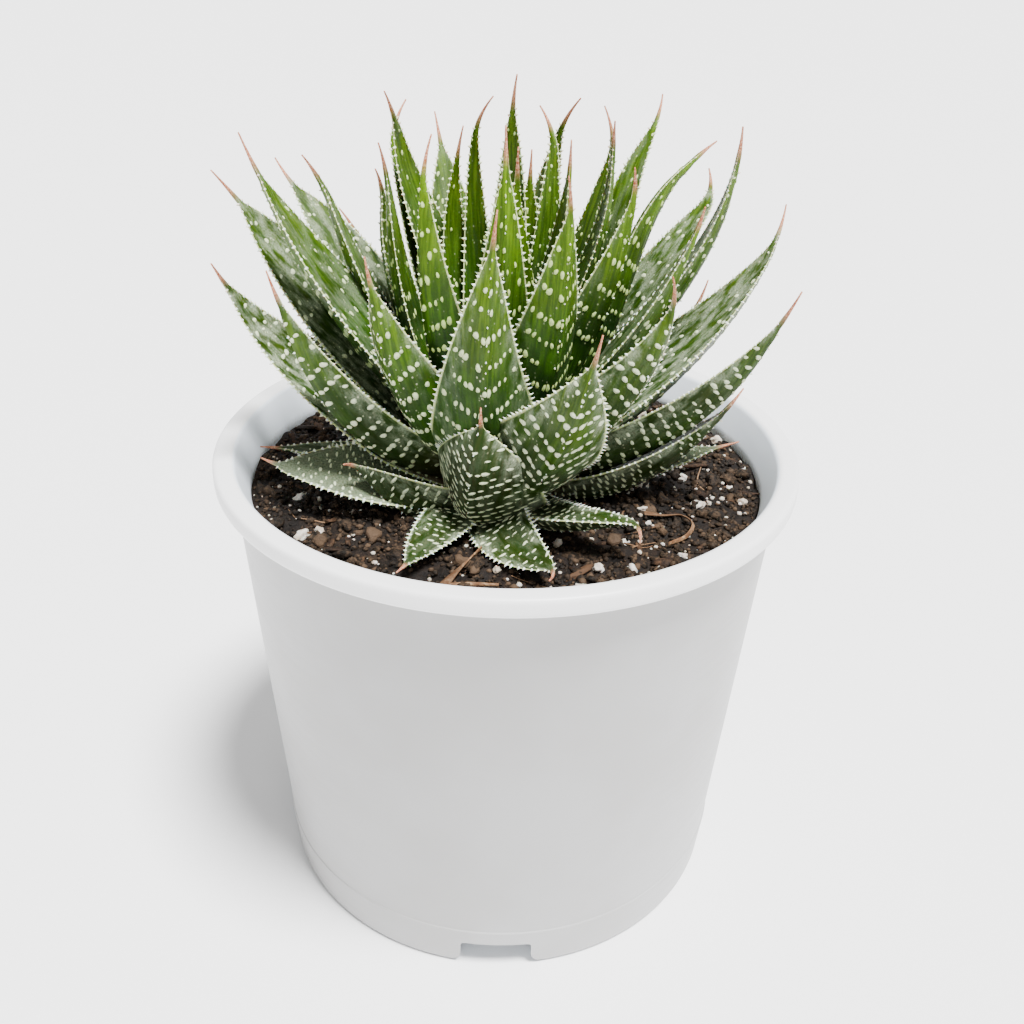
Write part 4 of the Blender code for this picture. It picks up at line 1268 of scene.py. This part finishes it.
def scatter(name, count, sizes, form, material, seed, lift, tilt=0.6, skew=2.0, left=1.0):
    """Many lumps in one mesh. The form is their squash, their roughness and the fineness of their ball."""
    squash, rough, fineness = form
    draw = random.Random(seed)
    shape = ball(fineness)
    heap = Heap()
    placed = 0
    for _ in range(count * MOST_TRIES):
        if placed == count:
            break
        size = sizes[0] + (sizes[1] - sizes[0]) * draw.random() ** skew
        place = free_place(draw, size)
        if place is None or (place[0] < 0 and draw.random() > left):
            continue
        place[2] += size * lift
        stretch = [axis * draw.uniform(0.75, 1.25) for axis in squash]
        add_lump(heap, shape, place, size, stretch, rough, draw, tilt)
        placed += 1
    join_to_pot(heap.make(name, (material,)), "soil")
    print(name, placed)

# %% Perlite
PERLITE_PALE, PERLITE_STAINED = (0.64, 0.60, 0.53), (0.44, 0.36, 0.27)
PORE_BROWN, DUSTED_BROWN = (0.20, 0.15, 0.11), (0.42, 0.33, 0.24)


def perlite_white():
    """Puffed volcanic glass that looks like chalk: pale, stained by the earth, with dark pores."""
    mix = Recipe("perlite_white", 0.85, Subsurface_Weight=0.1, Subsurface_Scale=0.001)
    _, _, tone = mix.attribute("share")
    grit = mix.clouds(mix.position(1.3), 5.0, 0.7)
    stain = mix.clouds(mix.position(0.35), 3.0)
    colour = mix.layer(PERLITE_PALE, PERLITE_STAINED, mix.ramp(stain, 0.42, 0.68))
    colour = mix.layer(colour, PORE_BROWN, mix.ramp(grit, 0.60, 0.75, 0.0, 0.8))
    colour = mix.layer(colour, DUSTED_BROWN, mix.ramp(tone, 0.70, 1.0, 0.0, 0.7))
    return mix.finish(colour, grit, 0.5)


print("perlite is", PERLITE_PALE, "and where it is stained", PERLITE_STAINED)

# %% Scatter crumbs, chips and perlite
CRUMB_EARTH = ((0.006, 0.004, 0.002), (0.085, 0.052, 0.030))
BARK_EARTH = ((0.014, 0.007, 0.004), (0.085, 0.044, 0.022))
earth = soil_earth("crumb_earth", *CRUMB_EARTH)
bark = soil_earth("bark_brown", *BARK_EARTH, 0.8)
perlite = perlite_white()
scatter("fine_crumbs", 7600, (0.30, 0.85), ((1, 1, 0.8), 0.7, 1), earth, seed=1, lift=0.25)
scatter("coarse_crumbs", 380, (0.8, 1.9), ((1, 0.85, 0.7), 0.9, 2), earth, seed=2, lift=0.2)
scatter("bark_chips", 150, (0.9, 2.4), ((1.4, 0.5, 0.22), 0.8, 2), bark, seed=3, lift=0.25, tilt=0.5)
scatter("fine_perlite", 620, (0.20, 0.65), ((1, 1, 0.85), 0.6, 1), perlite, seed=4, lift=0.45)
GRAINS = ((1, 0.9, 0.75), 0.6, 3)
scatter("perlite_grains", 70, (0.7, 1.9), GRAINS, perlite, seed=5, lift=0.25, skew=1.6, left=0.4)

# %% [markdown]
# ### Roots and dead leaves
# A few thin roots and two curled remains of dead leaves lie on top, the first with a forked twig beside it.
# Roots are tubes along a smooth line that wanders over the bed. The dead leaves are tubes too, but squashed
# flat and twisted as they go, which is quicker than curling a sheet and looks the same at this size.

# %% Smooth lines and strands
def smooth_line(points, count):
    """Points on a smooth curve through the given ones."""
    rows = np.array(points, float)
    rows = np.concatenate([[2 * rows[0] - rows[1]], rows, [2 * rows[-1] - rows[-2]]])
    made = []
    for index in range(1, len(rows) - 2):
        a, b, c, d = rows[index - 1 : index + 3]
        for t in np.linspace(0, 1, count, endpoint=False):
            square = (2 * a - 5 * b + 4 * c - d) * t**2
            cube = (3 * b - a - 3 * c + d) * t**3
            made.append(0.5 * (2 * b + (c - a) * t + square + cube))
    return np.array(made + [rows[-2]])


def add_strand(heap, line, radii, sides=6, flat=1.0, twist=0.0, tone=0.5):
    """A tube along the line, squashed by flat and turned by twist radians from end to end."""
    forward = unit(np.gradient(line, axis=0))
    across = unit(np.cross(forward, np.array((0, 0, 1.0))))
    up = np.cross(across, forward)
    rows = []
    for index, radius in enumerate(radii):
        turn = twist * index / (len(radii) - 1)
        wide = across[index] * math.cos(turn) + up[index] * math.sin(turn)
        deep = up[index] * math.cos(turn) - across[index] * math.sin(turn)
        for step in range(sides):
            angle = 2 * math.pi * step / sides
            sideways = wide * radius * math.cos(angle)
            rows.append(line[index] + sideways + deep * radius * flat * math.sin(angle))
    heap.add(rows, tube_faces(len(radii), sides), share=(0, 0, tone))


print("a line through three points, four steps apiece, has", len(smooth_line(((0, 0), (1, 0), (1, 1)), 4)))

# %% Roots
ROOT_COUNT = 26
ROOT_REACH = 56
ROOT_BROWN = ((0.10, 0.05, 0.025), (0.30, 0.18, 0.10))


def make_roots():
    """Each root wanders from a free place until it would leave the bed or meet a leaf."""
    draw = random.Random(9)
    heap = Heap()
    placed = 0
    while placed < ROOT_COUNT:
        start = free_place(draw, 1.5)
        if start is None:
            continue
        heading = draw.uniform(0, 2 * math.pi)
        points = []
        here = start[:2].copy()
        for _ in range(draw.randint(3, 6)):
            height = crumb_height(*here)
            if math.hypot(*here) > ROOT_REACH or under_leaf(*here, height) < height:
                break
            points.append((here[0], here[1], height + draw.uniform(0.1, 0.7)))
            heading += draw.uniform(-0.8, 0.8)
            here = here + slope(math.degrees(heading)) * draw.uniform(2.0, 4.5)
        if len(points) < 3:
            continue
        line = smooth_line(points, 5)
        radii = np.linspace(0.24, 0.10, len(line)) * draw.uniform(0.7, 1.2)
        add_strand(heap, line, radii, 5, tone=draw.random())
        placed += 1
    return heap.make("fine_roots", (soil_earth("root_brown", *ROOT_BROWN, 0.7),))


roots = make_roots()
join_to_pot(roots, "soil")
print("root faces", len(roots.data.polygons))

# %% Dead leaves
FORK = ((-11.0, -49.0), (-6.5, -48.6), (-1.0, -48.0))
WITHERED = (
    (((-11.5, -49), (-9, -45), (-6.5, -41), (-4.6, -37.5)), (1.1, 0.5)),
    (((29.5, -21.5), (33.5, -21.5), (37.5, -22), (39.5, -25), (37.5, -29.5), (33.5, -32.5)), (0.9, 0.45)),
)
WITHERED_TONES = ((0.16, 0.075, 0.035), (0.42, 0.27, 0.15))
FLATNESS, CURL = 0.28, 1.6


def on_the_bed(points, lift, count):
    """A smooth line through places on the bed, raised a little above it."""
    return smooth_line([(x, y, bed_height(x, y) + lift) for x, y in points], count)


withered_paper = soil_earth("withered_paper", *WITHERED_TONES, 0.75)
for number, (points, widths) in enumerate(WITHERED, 1):
    line = on_the_bed(points, 1.1, 12)
    heap = Heap()
    add_strand(heap, line, np.linspace(*widths, len(line)), 10, flat=FLATNESS, twist=CURL, tone=0.5)
    if number == 1:
        twig = on_the_bed(FORK, 0.9, 8)
        add_strand(heap, twig, np.linspace(0.55, 0.3, len(twig)), 8)
    piece = heap.make(f"dead_leaf_{number}", (withered_paper,))
    join_to_pot(piece, "withered_leaf", f"withered_leaf_{number}")
print("dead leaves", len(WITHERED))

# %% [markdown]
# ## The studio
# The picture was taken against white in soft light. Its main light comes from high up, a little from the
# front and the right, so the soft shadow of the pot falls to the left. One far lamp gives that, and it
# looks sixteen degrees wide, which makes the shadow's edge soft. An even white world fills in the rest, and
# a pale floor throws light back up under the leaves. Large lamps close by would do too, but their light
# would change over the plant and be harder to set.

# %% Floor
FLOOR_HALF = 3.0
FLOOR_BELOW = 0.0002
FLOOR_PALE, FLOOR_PALER = (0.93, 0.93, 0.93), (0.94, 0.94, 0.94)


def make_floor():
    """A wide sheet just under the pot's foot, so that the two don't share a plane. In metres."""
    mesh = bpy.data.meshes.new("floor")
    corners = [(x * FLOOR_HALF, y * FLOOR_HALF, 0) for x, y in ((-1, -1), (1, -1), (1, 1), (-1, 1))]
    mesh.from_pydata(corners, [], [(0, 1, 2, 3)])
    floor = in_scene("floor", mesh)
    floor.location.z = -FLOOR_BELOW
    mix = Recipe("floor_white", 0.6)
    cloud = mix.clouds(mix.position(0.01), 2.0)
    mesh.materials.append(mix.finish(mix.layer(FLOOR_PALE, FLOOR_PALER, cloud)))


make_floor()
print("floor", 2 * FLOOR_HALF, "m wide")

# %% Light
WORLD_WHITE = (1.0, 1.0, 1.0, 1.0)
WORLD_STRENGTH = 0.75
LAMP_COMES_FROM = (0.24, -0.22, 0.94)
LAMP_SOFTNESS = 16.0
LAMP_POWER = 12.0

world = bpy.data.worlds.new("studio")
world.use_nodes = True
background = world.node_tree.nodes["Background"]
background.inputs["Color"].default_value = WORLD_WHITE
background.inputs["Strength"].default_value = WORLD_STRENGTH
bpy.context.scene.world = world
lamp = bpy.data.lights.new("key_lamp", "SUN")
lamp.angle = math.radians(LAMP_SOFTNESS)
lamp.energy = LAMP_POWER
in_scene("key_lamp", lamp).rotation_euler = (-Vector(LAMP_COMES_FROM)).to_track_quat("-Z", "Y").to_euler()
print("a lamp", LAMP_SOFTNESS, "degrees wide, of power", LAMP_POWER)

# %% [markdown]
# ### The camera
# The camera stands in front and above, and looks down at thirty degrees. It is close to the plant, so the
# rim looks much wider than the foot. Its place, lens and tilt were worked out from the ellipses of the rim,
# the lip and the foot, which is surer than moving it by eye, since a wrong height bends every ellipse a
# little.

# %% Camera
LENS = 38.18
CAMERA_PLACE = (0.0, -0.222, 0.218)
PITCH_DOWN, TURN_RIGHT, ROLL = 29.85, 0.4, 1.47


def make_camera():
    """The photograph's camera: its place in metres, then its three angles in degrees."""
    data = bpy.data.cameras.new("camera")
    data.lens = LENS
    data.sensor_width = 36.0
    camera = in_scene("camera", data)
    camera.location = CAMERA_PLACE
    pitch, turn, roll = (math.radians(angle) for angle in (PITCH_DOWN, TURN_RIGHT, ROLL))
    forward = Vector((math.sin(turn) * math.cos(pitch), math.cos(turn) * math.cos(pitch), -math.sin(pitch)))
    camera.rotation_euler = forward.to_track_quat("-Z", "Y").to_euler()
    camera.rotation_euler.rotate_axis("Z", roll)
    bpy.context.scene.camera = camera


make_camera()
print("camera at", tuple(round(v, 3) for v in bpy.context.scene.camera.location))
